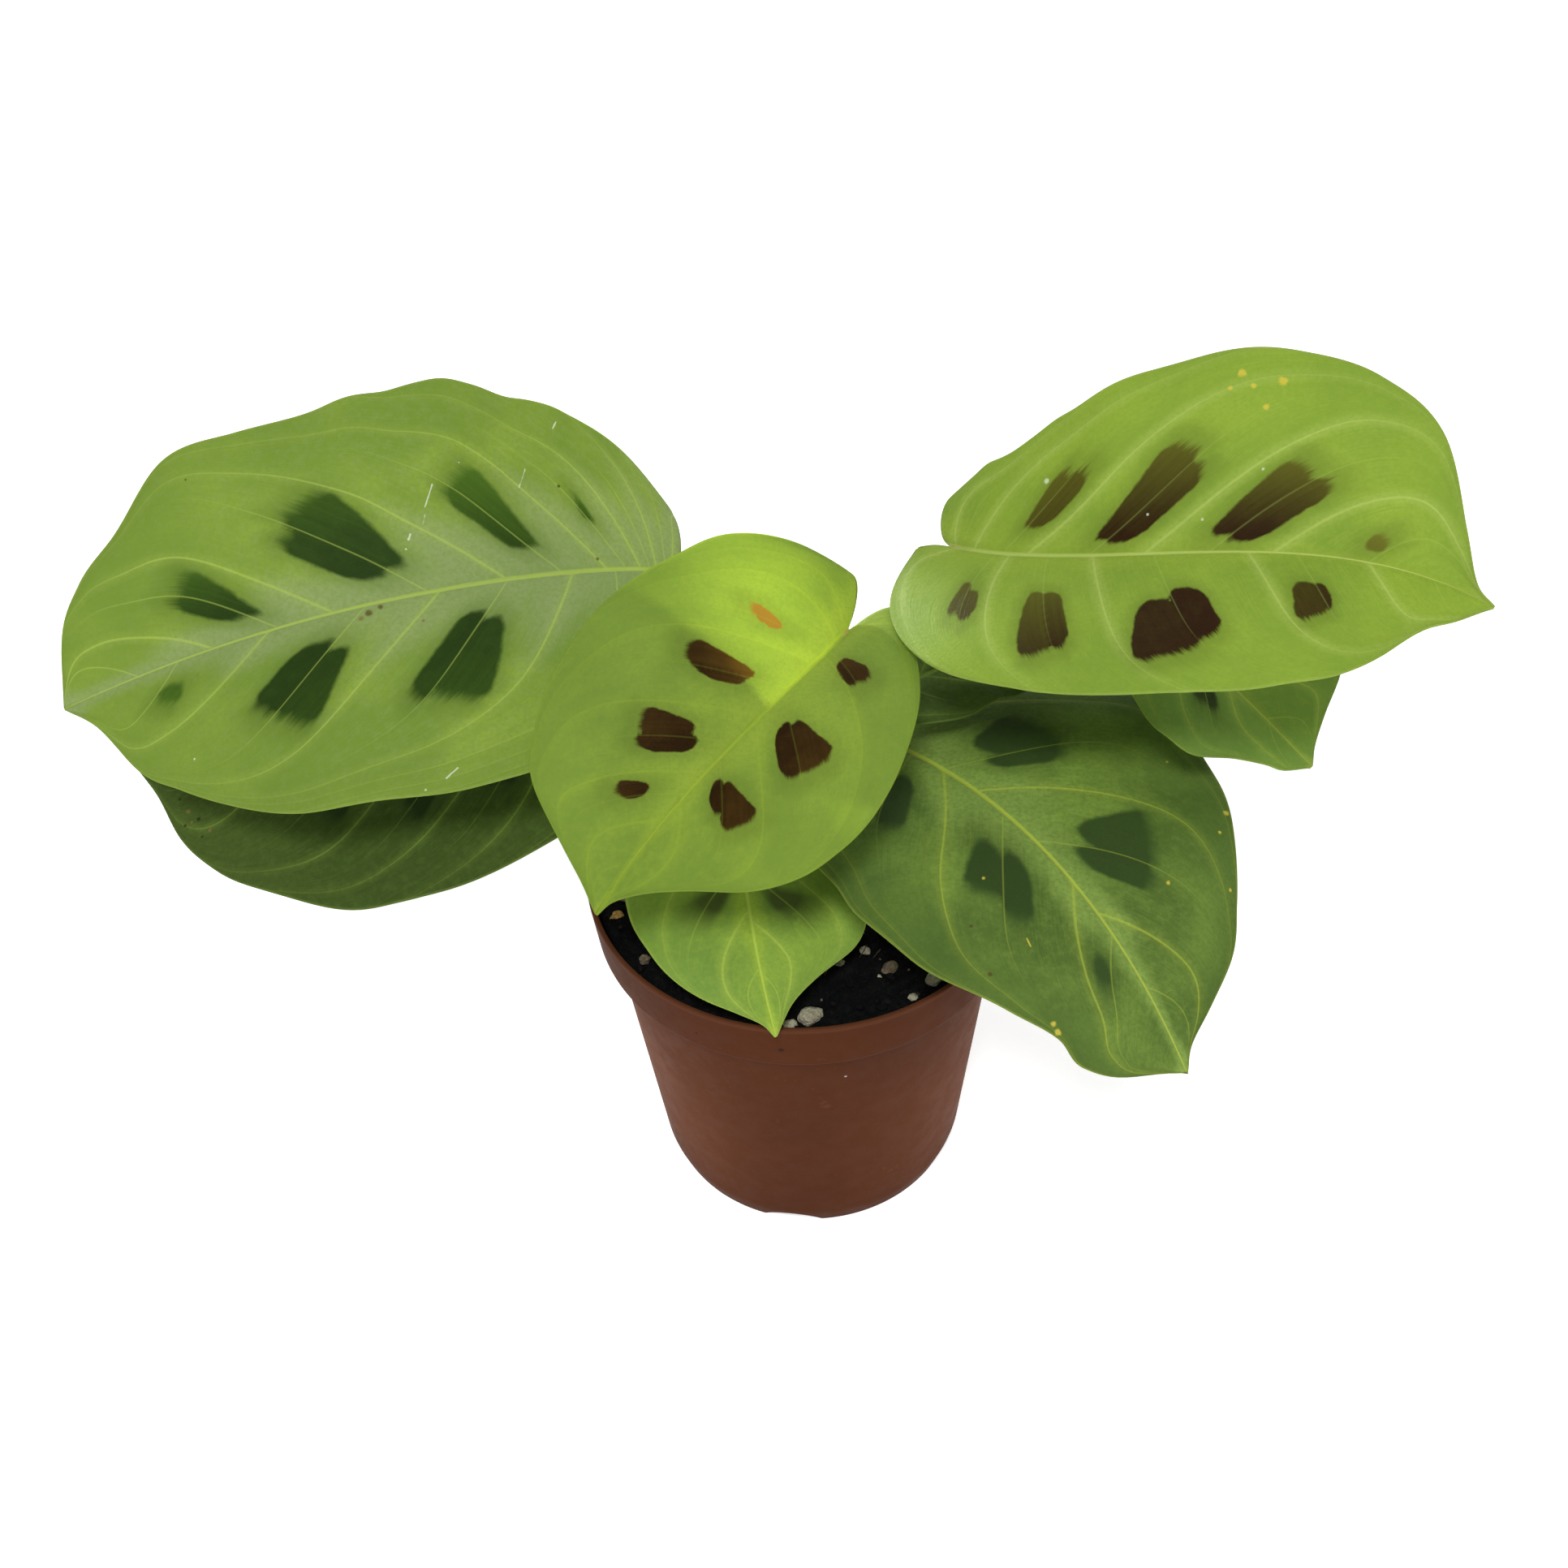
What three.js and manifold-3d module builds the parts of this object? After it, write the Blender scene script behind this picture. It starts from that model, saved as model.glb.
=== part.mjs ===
// A potted prayer plant: a thin nursery pot filled with dark soil, three short stems,
// and eight patterned leaves, each on its own long stalk.
// Millimetres, +Z up, the origin at the middle of the pot's base.
import * as THREE from "three";
import { mergeVertices } from "three/addons/utils/BufferGeometryUtils.js";
import Module from "manifold-3d";

const wasm = await Module();
wasm.setup();

// Pot
const RIM_RADIUS = 50;
const POT_HEIGHT = 90;
const BAND_HEIGHT = 13.5;
const BAND_FOOT_RADIUS = 48.8;
const BODY_TOP_RADIUS = 45.5;
const BODY_FOOT_RADIUS = 37.6;
const BASE_RADIUS = 36;
const FOOT_HEIGHT = 5;
const WALL = 1.3;
const FLOOR = 1.8;
const LIP_ROUND = 0.7;
const POT_SIDES = 64;
const NOTCHES = 5;
const NOTCH_WIDTH = 15;
const NOTCH_HEIGHT = 4;
const NOTCH_DEPTH = 4.5;
const NOTCH_SIDES = 32;
const FRONT_NOTCH_ANGLE = -100;

// Soil
const SOIL_LEVEL = 86;
const SOIL_RELIEF = 0.7;
const SOIL_RINGS = [43, 36, 29, 22, 15, 8];
const GAP = 0.35;
const STEM_FOOT = 73;
const STEM_CLEARANCE = 6;

// Leaves
const BLADE_THICKNESS = 0.8;
const MIDRIB_THICKNESS = 1.5;
const MIDRIB_SPREAD = 0.12;
const TIP_HALF_WIDTH = 0.8;
const LOBE_REACH = 0.16;
const LOBE_TURN = 0.62;
const WAVE_HEIGHT = 1.1;
const WAVE_COUNT = 3.4;
const STATIONS = [0, 0.07, 0.16, 0.28, 0.4, 0.52, 0.64, 0.75, 0.84, 0.91, 0.96, 1];
const BLADE_ROWS = [
  0, 0.03, 0.07, 0.115, 0.16, 0.22, 0.28, 0.34, 0.4, 0.46, 0.52, 0.58, 0.64, 0.7, 0.75, 0.8, 0.84, 0.88, 0.91, 0.94,
  0.965, 0.985, 1,
];
const HALF_COLUMNS = [0, 0.15, 0.4, 0.7, 1];
const MIDRIB_STEPS = 24;

// Stalks
const STALK_SIDES = 8;
const STALK_SEGMENTS = 14;
const SHEATH_RADIUS = 1.6;
const STALK_RADIUS = 1.1;
const JOINT_RADIUS = 1.45;
const JOINT_LENGTH = 9;
const STALK_END_RADIUS = 0.5;

// Stems: where each stands in the soil, and where its top leans to
const STEMS = {
  left: { foot: [-9, 23], top: [-10, 24, 97] },
  centre: { foot: [4, 20], top: [5, 19, 98] },
  right: { foot: [15, 25], top: [17, 26, 96] },
};

// Each leaf starts at its base. Headings turn anticlockwise from +X and pitches rise from level,
// both at the base, halfway and at the tip. The bank lifts the left half, at the base and at the tip.
// The fold lifts both halves beside the midrib and the curl lets them down again towards the margin.
// The lobe is how far the basal margins reach back. Half widths are given at STATIONS, the tip left out.
// The stalk leaves its stem at stalkFrom, rising towards stalkOut.
const LEAVES = {
  left_upper: {
    base: [-25, 40, 145],
    length: 146,
    heading: [222, 187, 191],
    pitch: [36, -7, -19],
    bank: [-19, -38],
    fold: 17,
    curl: 14,
    lobe: 8,
    leftHalf: [24.5, 31.5, 40, 48, 49.5, 47, 45, 38, 29.5, 20.5, 7],
    rightHalf: [23, 31.5, 38.5, 45.5, 46.5, 45, 44, 42, 31, 23.5, 14.5],
    stem: "left",
    stalkFrom: 95,
    stalkOut: [-0.2, 0.5, 0.9],
  },
  left_lower: {
    base: [-43, 13, 121],
    length: 113,
    heading: [180, 174, 172],
    pitch: [3, -5, -9],
    bank: [-4, -10],
    fold: 3,
    curl: 19,
    lobe: 7,
    leftHalf: [14, 22.5, 31.5, 40.5, 43.5, 42.5, 38.5, 32, 23.5, 12, 5.5],
    rightHalf: [16, 22, 29, 37, 41, 41, 36.5, 28.5, 20, 11.5, 5.5],
    stem: "left",
    stalkFrom: 88,
    stalkOut: [-0.8, 0.5, 0.6],
  },
  centre: {
    base: [12, 9, 152],
    length: 85,
    heading: [241, 222, 232],
    pitch: [9, -19, -27],
    bank: [-22, -20],
    fold: 25,
    curl: 12,
    lobe: 13,
    leftHalf: [5.5, 13, 23.5, 31, 35, 35.5, 33, 25, 13.5, 5.5, 1.5],
    rightHalf: [9.5, 21.5, 32, 37, 38.5, 39, 36.5, 32, 26, 14, 5.5],
    stem: "centre",
    stalkFrom: 95.5,
    stalkOut: [0.1, 0.3, 1],
  },
  right_upper: {
    base: [36, 36, 152],
    length: 121,
    heading: [-55, -14, -35],
    pitch: [21, 9, -15],
    bank: [23, 19],
    fold: 28,
    curl: 18,
    lobe: 7,
    leftHalf: [12.5, 19.5, 27, 34.5, 40, 43.5, 43, 40, 30, 12, 2.5],
    rightHalf: [5, 23.5, 37.5, 42, 44, 42, 40.5, 36.5, 27, 15, 8.5],
    stem: "right",
    stalkFrom: 92.5,
    stalkOut: [0, 0.4, 1],
  },
  right_front: {
    base: [20, 13, 115],
    length: 108,
    heading: [-47, -58, -64],
    pitch: [13, -7, -41],
    bank: [1, -5],
    fold: 6,
    curl: 16,
    lobe: 6,
    leftHalf: [18, 27, 41.5, 53.5, 51, 47, 39, 31, 22.5, 11.5, 3.5],
    rightHalf: [21, 31, 38, 40.5, 43.5, 41, 37, 29.5, 22.5, 20.5, 13],
    stem: "centre",
    stalkFrom: 90,
    stalkOut: [0.8, -0.2, 0.9],
  },
  right_rear: {
    base: [63, 45, 138],
    length: 74,
    heading: [-44, -44, -48],
    pitch: [2, -19, -25],
    bank: [-7, -5],
    fold: 15,
    curl: 13,
    lobe: 6,
    leftHalf: [15, 18.5, 22.5, 27, 31, 33.5, 34.5, 32, 25, 12, 4.5],
    rightHalf: [16, 19, 22.5, 25.5, 26.5, 27.5, 30.5, 28.5, 17, 11, 7.5],
    stem: "right",
    stalkFrom: 89,
    stalkOut: [0.7, 0.8, 0.9],
  },
  right_inner: {
    base: [19, 15, 127],
    length: 50,
    heading: [26, 22, 16],
    pitch: [8, 0, -12],
    bank: [0, 0],
    fold: 8,
    curl: 16,
    lobe: 4,
    leftHalf: [8, 10.5, 12.5, 14, 14.5, 14, 12.5, 10, 7, 4.5, 2],
    rightHalf: [9, 12, 15, 16, 16.5, 15.5, 14, 11, 8, 4.5, 2.5],
    stem: "right",
    stalkFrom: 91,
    stalkOut: [-0.1, -0.6, 1],
  },
  front_small: {
    base: [-15, 15, 105],
    length: 71,
    heading: [-87, -85, -76],
    pitch: [5, -9, -30],
    bank: [-2, -2],
    fold: 5,
    curl: 20,
    lobe: 7,
    leftHalf: [12.5, 15, 18.5, 22.5, 25.5, 27, 26, 21.5, 12, 5.5, 2.5],
    rightHalf: [12.5, 15.5, 19, 23.5, 26.5, 26.5, 24, 20, 13.5, 6.5, 2],
    stem: "left",
    stalkFrom: 91.5,
    stalkOut: [-0.8, -0.2, 0.6],
  },
};

// Loose white, cream and tan grains that show on the soil: place and radius
const GRAINS = [
  { at: [0, -43], radius: 3.0 },
  { at: [-4.5, -45], radius: 1.7 },
  { at: [28, -34], radius: 2.2 },
  { at: [13, -24], radius: 1.3 },
  { at: [18, -29.5], radius: 1.9 },
  { at: [22.5, -39], radius: 1.2 },
  { at: [7, -28], radius: 1.2 },
  { at: [-36.5, -24], radius: 1.4 },
  { at: [-43, -11], radius: 1.5 },
  { at: [-41, -5], radius: 1.5 },
];
const HIDDEN_GRAINS = 10;

// Colours
const POT_BROWN = 0x6b3c28;
const SOIL_BLACK = 0x16130f;
const STEM_GREEN = 0x5d7a34;
const STALK_GREEN = 0x7f9a40;
const LEAF_BRIGHT = 0x8fb53c;
const LEAF_SHADE = 0x5a7a34;

// Geometry of a solid, ready for a mesh
function geometryFrom(solid) {
  const mesh = solid.getMesh();
  const geometry = new THREE.BufferGeometry();
  geometry.setAttribute("position", new THREE.BufferAttribute(mesh.vertProperties, mesh.numProp));
  geometry.setIndex(new THREE.BufferAttribute(mesh.triVerts, 1));
  geometry.computeVertexNormals();
  return geometry;
}

// Solid of a closed geometry
function solidFrom(geometry) {
  const plain = new THREE.BufferGeometry();
  plain.setAttribute("position", geometry.getAttribute("position"));
  if (geometry.index) plain.setIndex(geometry.index);
  const merged = mergeVertices(plain, 1e-4);
  return new wasm.Manifold(
    new wasm.Mesh({
      numProp: 3,
      vertProperties: new Float32Array(merged.getAttribute("position").array),
      triVerts: new Uint32Array(merged.index.array),
    }),
  );
}

// Solid from a list of points and a list of triangles
function solidOf(points, triangles) {
  const geometry = new THREE.BufferGeometry().setFromPoints(points);
  geometry.setIndex(triangles);
  return solidFrom(geometry);
}

// Solid of a profile turned round the Z axis
function turned(profile, sides) {
  const points = profile.map(([radius, height]) => new THREE.Vector2(radius, height));
  return solidFrom(new THREE.LatheGeometry(points, sides).rotateX(Math.PI / 2));
}

// Solid rod along a curve, whose radius is a function of the distance from its start
function rod(curve, segments, sides, radiusAt) {
  const frames = curve.computeFrenetFrames(segments, false);
  const length = curve.getLength();
  const points = [];
  for (let i = 0; i <= segments; i++) {
    const centre = curve.getPointAt(i / segments);
    const radius = radiusAt((i / segments) * length, length);
    for (let j = 0; j < sides; j++) {
      const angle = (2 * Math.PI * j) / sides;
      const point = centre.clone();
      point.addScaledVector(frames.normals[i], radius * Math.cos(angle));
      point.addScaledVector(frames.binormals[i], radius * Math.sin(angle));
      points.push(point);
    }
  }
  const first = points.push(curve.getPointAt(0)) - 1;
  const last = points.push(curve.getPointAt(1)) - 1;
  const triangles = [];
  for (let j = 0; j < sides; j++) {
    const next = (j + 1) % sides;
    for (let i = 0; i < segments; i++) {
      const low = i * sides;
      const high = low + sides;
      triangles.push(low + j, low + next, high + next);
      triangles.push(low + j, high + next, high + j);
    }
    const end = segments * sides;
    triangles.push(first, next, j);
    triangles.push(last, end + j, end + next);
  }
  return solidOf(points, triangles);
}

// Inner radius of the pot at a height
function innerRadius(height) {
  const bandFoot = POT_HEIGHT - BAND_HEIGHT;
  if (height >= bandFoot + WALL) {
    const up = (height - bandFoot) / BAND_HEIGHT;
    return BAND_FOOT_RADIUS + (RIM_RADIUS - BAND_FOOT_RADIUS) * up - WALL;
  }
  const up = (height - FOOT_HEIGHT) / (bandFoot - FOOT_HEIGHT);
  return BODY_FOOT_RADIUS + (BODY_TOP_RADIUS - BODY_FOOT_RADIUS) * up - WALL;
}

// A drain notch is an arch, cut by a cylinder that lies along the radius with its axis below the base
function drainNotch(angle) {
  const radius = ((NOTCH_WIDTH / 2) ** 2 + NOTCH_HEIGHT ** 2) / (2 * NOTCH_HEIGHT);
  const cutter = new THREE.CylinderGeometry(radius, radius, NOTCH_DEPTH, NOTCH_SIDES).rotateZ(Math.PI / 2);
  cutter.translate(BODY_FOOT_RADIUS - NOTCH_DEPTH / 2, 0, NOTCH_HEIGHT - radius);
  return solidFrom(cutter.rotateZ(THREE.MathUtils.degToRad(angle)));
}

// The pot, with a wide rim band, a bevelled foot and drain notches round its base
function pot() {
  const bandFoot = POT_HEIGHT - BAND_HEIGHT;
  const profile = [
    [0, 0],
    [BASE_RADIUS, 0],
    [BODY_FOOT_RADIUS, FOOT_HEIGHT],
    [BODY_TOP_RADIUS, bandFoot - LIP_ROUND],
    [BODY_TOP_RADIUS + LIP_ROUND, bandFoot],
    [BAND_FOOT_RADIUS - LIP_ROUND, bandFoot],
    [BAND_FOOT_RADIUS, bandFoot + LIP_ROUND],
    [RIM_RADIUS, POT_HEIGHT - LIP_ROUND],
    [RIM_RADIUS - LIP_ROUND / 2, POT_HEIGHT],
    [RIM_RADIUS - WALL + LIP_ROUND / 2, POT_HEIGHT],
    [RIM_RADIUS - WALL, POT_HEIGHT - LIP_ROUND],
    [innerRadius(bandFoot + WALL), bandFoot + WALL],
    [innerRadius(bandFoot), bandFoot + WALL],
    [innerRadius(FOOT_HEIGHT), FOOT_HEIGHT],
    [BASE_RADIUS - WALL, FLOOR],
    [0, FLOOR],
  ];
  let shell = turned(profile, POT_SIDES);
  for (let k = 0; k < NOTCHES; k++) {
    shell = shell.subtract(drainNotch(FRONT_NOTCH_ANGLE + (360 * k) / NOTCHES));
  }
  return shell;
}

// A repeatable stand-in for chance, from 0 to 1
function chance(seed) {
  const wave = Math.sin(seed * 127.1 + 11.7) * 43758.5453;
  return wave - Math.floor(wave);
}

function soilHeight(x, y) {
  const broad = Math.sin(0.21 * x + 1.7) * Math.sin(0.19 * y + 0.4);
  const fine = Math.sin(0.47 * x - 0.38 * y) * Math.sin(0.33 * x + 0.52 * y + 2);
  return SOIL_LEVEL + SOIL_RELIEF * (broad + 0.6 * fine);
}

// A grain set half into the soil's surface
function grain(x, y, radius, seed) {
  const shape = new THREE.IcosahedronGeometry(radius, radius > 1.8 ? 1 : 0);
  shape.scale(1, 0.65 + 0.3 * chance(seed), 0.6 + 0.3 * chance(seed + 1));
  shape.rotateZ(Math.PI * chance(seed + 2));
  shape.translate(x, y, soilHeight(x, y) + 0.2 * radius);
  return solidFrom(shape);
}

// The soil fills the pot to just below its lip
function soil(stems) {
  const bandFoot = POT_HEIGHT - BAND_HEIGHT;
  const shoulder = bandFoot + WALL + GAP;
  const profile = [
    [0, FLOOR + GAP],
    [BASE_RADIUS - WALL - 1.5 * GAP, FLOOR + GAP],
    [innerRadius(FOOT_HEIGHT) - GAP, FOOT_HEIGHT + GAP],
    [innerRadius(bandFoot) - GAP, shoulder],
    [innerRadius(shoulder) - GAP, shoulder],
    [innerRadius(SOIL_LEVEL) - GAP, SOIL_LEVEL - 1],
    ...SOIL_RINGS.map((radius) => [radius, SOIL_LEVEL]),
    [0, SOIL_LEVEL],
  ];
  const points = profile.map(([radius, height]) => new THREE.Vector2(radius, height));
  const plug = new THREE.LatheGeometry(points, POT_SIDES / 2).rotateX(Math.PI / 2);
  const position = plug.getAttribute("position");
  for (let i = 0; i < position.count; i++) {
    const x = position.getX(i);
    const y = position.getY(i);
    if (position.getZ(i) > SOIL_LEVEL - 0.5) position.setZ(i, soilHeight(x, y));
  }
  let body = solidFrom(plug);
  GRAINS.forEach(({ at, radius }, i) => {
    body = body.add(grain(at[0], at[1], radius, i));
  });
  for (let i = 0; i < HIDDEN_GRAINS; i++) {
    const angle = 2 * Math.PI * chance(50 + i);
    const reach = 10 + 31 * chance(80 + i);
    const x = reach * Math.cos(angle);
    const y = reach * Math.sin(angle);
    const clear = Object.values(STEMS).every(({ foot }) => Math.hypot(x - foot[0], y - foot[1]) > STEM_CLEARANCE);
    if (clear) body = body.add(grain(x, y, 0.9 + chance(110 + i), 140 + i));
  }
  return stems.reduce((left, hole) => left.subtract(hole), body);
}

// A short upright stem with a rounded top, grown by a margin where it cuts another piece
function stem({ foot, top }, grow) {
  const radius = 2.4 + grow;
  const curve = new THREE.CatmullRomCurve3([
    new THREE.Vector3(foot[0], foot[1], STEM_FOOT - grow),
    new THREE.Vector3(foot[0], foot[1], SOIL_LEVEL - 3),
    new THREE.Vector3(foot[0], foot[1], SOIL_LEVEL + 2),
    new THREE.Vector3(top[0], top[1], top[2] + grow),
  ]);
  return rod(curve, 16, 10, (at, length) => {
    const left = (length - at) / 2.2;
    return radius * (left < 1 ? 0.35 + 0.65 * Math.sqrt(left * (2 - left)) : 1);
  });
}

// A value given at the base, halfway and at the tip, read at a share of the way
function along([start, middle, end], share) {
  const first = start * (1 - share) * (1 - 2 * share);
  const second = middle * 4 * share * (1 - share);
  return first + second + end * share * (2 * share - 1);
}

// Half width at a share of the length, by smooth cubics through the stations
function halfWidth(list, share) {
  const values = [...list, TIP_HALF_WIDTH];
  const last = STATIONS.length - 1;
  const step = (i) => STATIONS[i + 1] - STATIONS[i];
  const rise = (i) => (values[i + 1] - values[i]) / step(i);
  const inner = (i) => (rise(i - 1) * step(i) + rise(i) * step(i - 1)) / (step(i - 1) + step(i));
  const slope = (i) => {
    if (i === 0) return 1.5 * rise(0) - 0.5 * inner(1);
    return i === last ? rise(last - 1) : inner(i);
  };
  let i = 0;
  while (i < last - 1 && share > STATIONS[i + 1]) i++;
  const f = (share - STATIONS[i]) / step(i);
  const start = (2 * f ** 3 - 3 * f ** 2 + 1) * values[i] + (f ** 3 - 2 * f ** 2 + f) * step(i) * slope(i);
  const end = (3 * f ** 2 - 2 * f ** 3) * values[i + 1] + (f ** 3 - f ** 2) * step(i) * slope(i + 1);
  return start + end;
}

function directionAt(leaf, share) {
  const heading = THREE.MathUtils.degToRad(along(leaf.heading, share));
  const pitch = THREE.MathUtils.degToRad(along(leaf.pitch, share));
  const level = Math.cos(pitch);
  return new THREE.Vector3(level * Math.cos(heading), level * Math.sin(heading), Math.sin(pitch));
}

// Point of the midrib, reached by small steps from the base
function midribAt(leaf, share) {
  const point = new THREE.Vector3(...leaf.base);
  const step = share / MIDRIB_STEPS;
  for (let i = 0; i < MIDRIB_STEPS; i++) {
    point.addScaledVector(directionAt(leaf, (i + 0.5) * step), step * leaf.length);
  }
  return point;
}

// Directions at a share of the length: forward along the midrib, to the left and up
function frameAt(leaf, share) {
  const forward = directionAt(leaf, share);
  const level = new THREE.Vector3(-forward.y, forward.x, 0).normalize();
  const up = new THREE.Vector3().crossVectors(forward, level);
  const bank = THREE.MathUtils.degToRad(leaf.bank[0] + (leaf.bank[1] - leaf.bank[0]) * share);
  const left = level.multiplyScalar(Math.cos(bank)).addScaledVector(up, Math.sin(bank));
  return { forward, left, up: new THREE.Vector3().crossVectors(forward, left) };
}

// Point of the blade's upper face: across runs from -1 at the right margin to 1 at the left one
function bladePoint(leaf, share, across, grow) {
  const { forward, left, up } = frameAt(leaf, share);
  const side = across < 0 ? -1 : 1;
  const v = Math.abs(across);
  const half = halfWidth(side > 0 ? leaf.leftHalf : leaf.rightHalf, share) + grow;
  const fold = THREE.MathUtils.degToRad(leaf.fold);
  const curl = THREE.MathUtils.degToRad(leaf.curl);
  const out = (half * (Math.sin(fold) - Math.sin(fold - curl * v))) / curl;
  const wave = WAVE_HEIGHT * v * v * Math.sin(Math.PI * share) * Math.sin(2 * Math.PI * WAVE_COUNT * share + side);
  const lift = (half * (Math.cos(fold - curl * v) - Math.cos(fold))) / curl + wave;
  const back = leaf.lobe * Math.exp(-((share / LOBE_REACH) ** 2)) * Math.sin(Math.PI * LOBE_TURN * v);
  const point = midribAt(leaf, share);
  point.addScaledVector(left, side * out).addScaledVector(up, lift);
  return point.addScaledVector(forward, -back);
}

// Upward direction of the blade at a point, from two short steps on its face
function bladeNormal(leaf, share, across) {
  if (across === 0) return frameAt(leaf, share).up;
  const step = 0.01;
  const s = Math.min(Math.max(share, step), 1 - step);
  const a = Math.sign(across) * Math.min(Math.abs(across), 1 - step);
  const ahead = bladePoint(leaf, s + step, a, 0).sub(bladePoint(leaf, s - step, a, 0));
  const aside = bladePoint(leaf, s, a + step, 0).sub(bladePoint(leaf, s, a - step, 0));
  return ahead.cross(aside).normalize();
}

// The blade as one thin solid, thicker at its midrib, grown by a margin where it cuts its stalk
function blade(leaf, grow) {
  const columns = [...HALF_COLUMNS.slice(1).reverse().map((v) => -v), ...HALF_COLUMNS];
  const top = [];
  const bottom = [];
  for (const share of BLADE_ROWS) {
    for (const across of columns) {
      const point = bladePoint(leaf, share, across, grow);
      if (share === 0) point.addScaledVector(frameAt(leaf, 0).forward, -grow);
      const normal = bladeNormal(leaf, share, across);
      const rib = (MIDRIB_THICKNESS - BLADE_THICKNESS) * Math.exp(-Math.abs(across) / MIDRIB_SPREAD);
      top.push(point.clone().addScaledVector(normal, grow));
      bottom.push(point.clone().addScaledVector(normal, -BLADE_THICKNESS - rib - grow));
    }
  }
  const width = columns.length;
  const rows = BLADE_ROWS.length;
  const under = top.length;
  const triangles = [];
  for (let i = 0; i < rows - 1; i++) {
    for (let j = 0; j < width - 1; j++) {
      const a = i * width + j;
      const b = a + 1;
      const c = b + width;
      const d = a + width;
      triangles.push(a, d, b, b, d, c);
      triangles.push(under + a, under + b, under + d, under + b, under + c, under + d);
    }
  }
  // The margin runs once round the grid: along the right side, the tip, the left side and the base
  const margin = [];
  for (let i = 0; i < rows; i++) margin.push(i * width);
  for (let j = 1; j < width; j++) margin.push((rows - 1) * width + j);
  for (let i = rows - 2; i >= 0; i--) margin.push(i * width + width - 1);
  for (let j = width - 2; j > 0; j--) margin.push(j);
  margin.forEach((here, k) => {
    const next = margin[(k + 1) % margin.length];
    triangles.push(here, under + here, next, next, under + here, under + next);
  });
  return solidOf([...top, ...bottom], triangles);
}

// The stalk: a broad sheath at the stem, a slender rod and a swollen joint under the blade
function stalkRadius(at, length) {
  const left = length - at;
  const sheath = (SHEATH_RADIUS - STALK_RADIUS) * Math.exp(-((at / 14) ** 2));
  const joint = (JOINT_RADIUS - STALK_RADIUS) / (1 + Math.exp((left - JOINT_LENGTH) / 1.5));
  const end = left < 1.5 ? STALK_END_RADIUS / JOINT_RADIUS + (1 - STALK_END_RADIUS / JOINT_RADIUS) * (left / 1.5) : 1;
  return (STALK_RADIUS + sheath + joint) * end;
}

function stemPointAt({ foot, top }, height) {
  const up = Math.max(0, (height - SOIL_LEVEL - 2) / (top[2] - SOIL_LEVEL - 2));
  return new THREE.Vector3(foot[0] + (top[0] - foot[0]) * up, foot[1] + (top[1] - foot[1]) * up, height);
}

function stalkCurve(leaf) {
  const from = stemPointAt(STEMS[leaf.stem], leaf.stalkFrom);
  const { forward, up } = frameAt(leaf, 0);
  const to = new THREE.Vector3(...leaf.base);
  to.addScaledVector(up, -MIDRIB_THICKNESS / 2).addScaledVector(forward, 1.2);
  const reach = from.distanceTo(to);
  const out = new THREE.Vector3(...leaf.stalkOut).normalize();
  const arrival = forward.clone().multiplyScalar(0.55).addScaledVector(up, 0.85).normalize();
  const first = from.clone().addScaledVector(out, 0.4 * reach);
  const second = to.clone().addScaledVector(arrival, -0.35 * reach);
  return new THREE.CubicBezierCurve3(from, first, second, to);
}

function stalk(leaf) {
  const whole = rod(stalkCurve(leaf), STALK_SEGMENTS, STALK_SIDES, stalkRadius);
  return whole.subtract(blade(leaf, GAP)).subtract(stem(STEMS[leaf.stem], GAP));
}

function piece(name, solid, colour, roughness) {
  const material = new THREE.MeshStandardMaterial({ color: colour, roughness, metalness: 0 });
  const mesh = new THREE.Mesh(geometryFrom(solid), material);
  mesh.name = name;
  return mesh;
}

const SHADED = ["left_lower", "right_rear", "right_inner"];

const group = new THREE.Group();
group.name = "potted_prayer_plant";
group.add(piece("pot", pot(), POT_BROWN, 0.45));
group.add(piece("soil", soil(Object.values(STEMS).map((place) => stem(place, GAP))), SOIL_BLACK, 0.95));
for (const [name, place] of Object.entries(STEMS)) {
  group.add(piece("stem_" + name, stem(place, 0), STEM_GREEN, 0.6));
}
for (const [name, leaf] of Object.entries(LEAVES)) {
  group.add(piece("stalk_" + name, stalk(leaf), STALK_GREEN, 0.55));
  group.add(piece("leaf_" + name, blade(leaf, 0), SHADED.includes(name) ? LEAF_SHADE : LEAF_BRIGHT, 0.5));
}

export default group;
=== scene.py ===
# A potted prayer plant: eight patterned leaves on long stalks, three short stems, dark soil and a
# nursery pot.
# Lengths in the leaf, stalk, pot and soil data are millimetres; everything in Blender is in metres.
import math
import random

import bmesh
import bpy
import numpy as np
from mathutils import Matrix, Vector


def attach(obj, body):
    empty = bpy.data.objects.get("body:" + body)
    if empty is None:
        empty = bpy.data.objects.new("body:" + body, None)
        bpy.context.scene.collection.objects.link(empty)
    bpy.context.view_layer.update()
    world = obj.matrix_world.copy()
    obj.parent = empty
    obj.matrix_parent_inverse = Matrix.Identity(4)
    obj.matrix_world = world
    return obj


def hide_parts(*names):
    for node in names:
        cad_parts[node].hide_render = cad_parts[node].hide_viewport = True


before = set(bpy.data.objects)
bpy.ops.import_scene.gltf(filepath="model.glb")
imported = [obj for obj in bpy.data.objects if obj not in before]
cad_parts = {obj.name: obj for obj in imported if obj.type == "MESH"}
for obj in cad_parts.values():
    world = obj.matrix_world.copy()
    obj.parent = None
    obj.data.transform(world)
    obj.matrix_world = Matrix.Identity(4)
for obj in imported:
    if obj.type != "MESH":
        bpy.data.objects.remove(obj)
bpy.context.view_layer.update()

MM = 0.001

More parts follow.
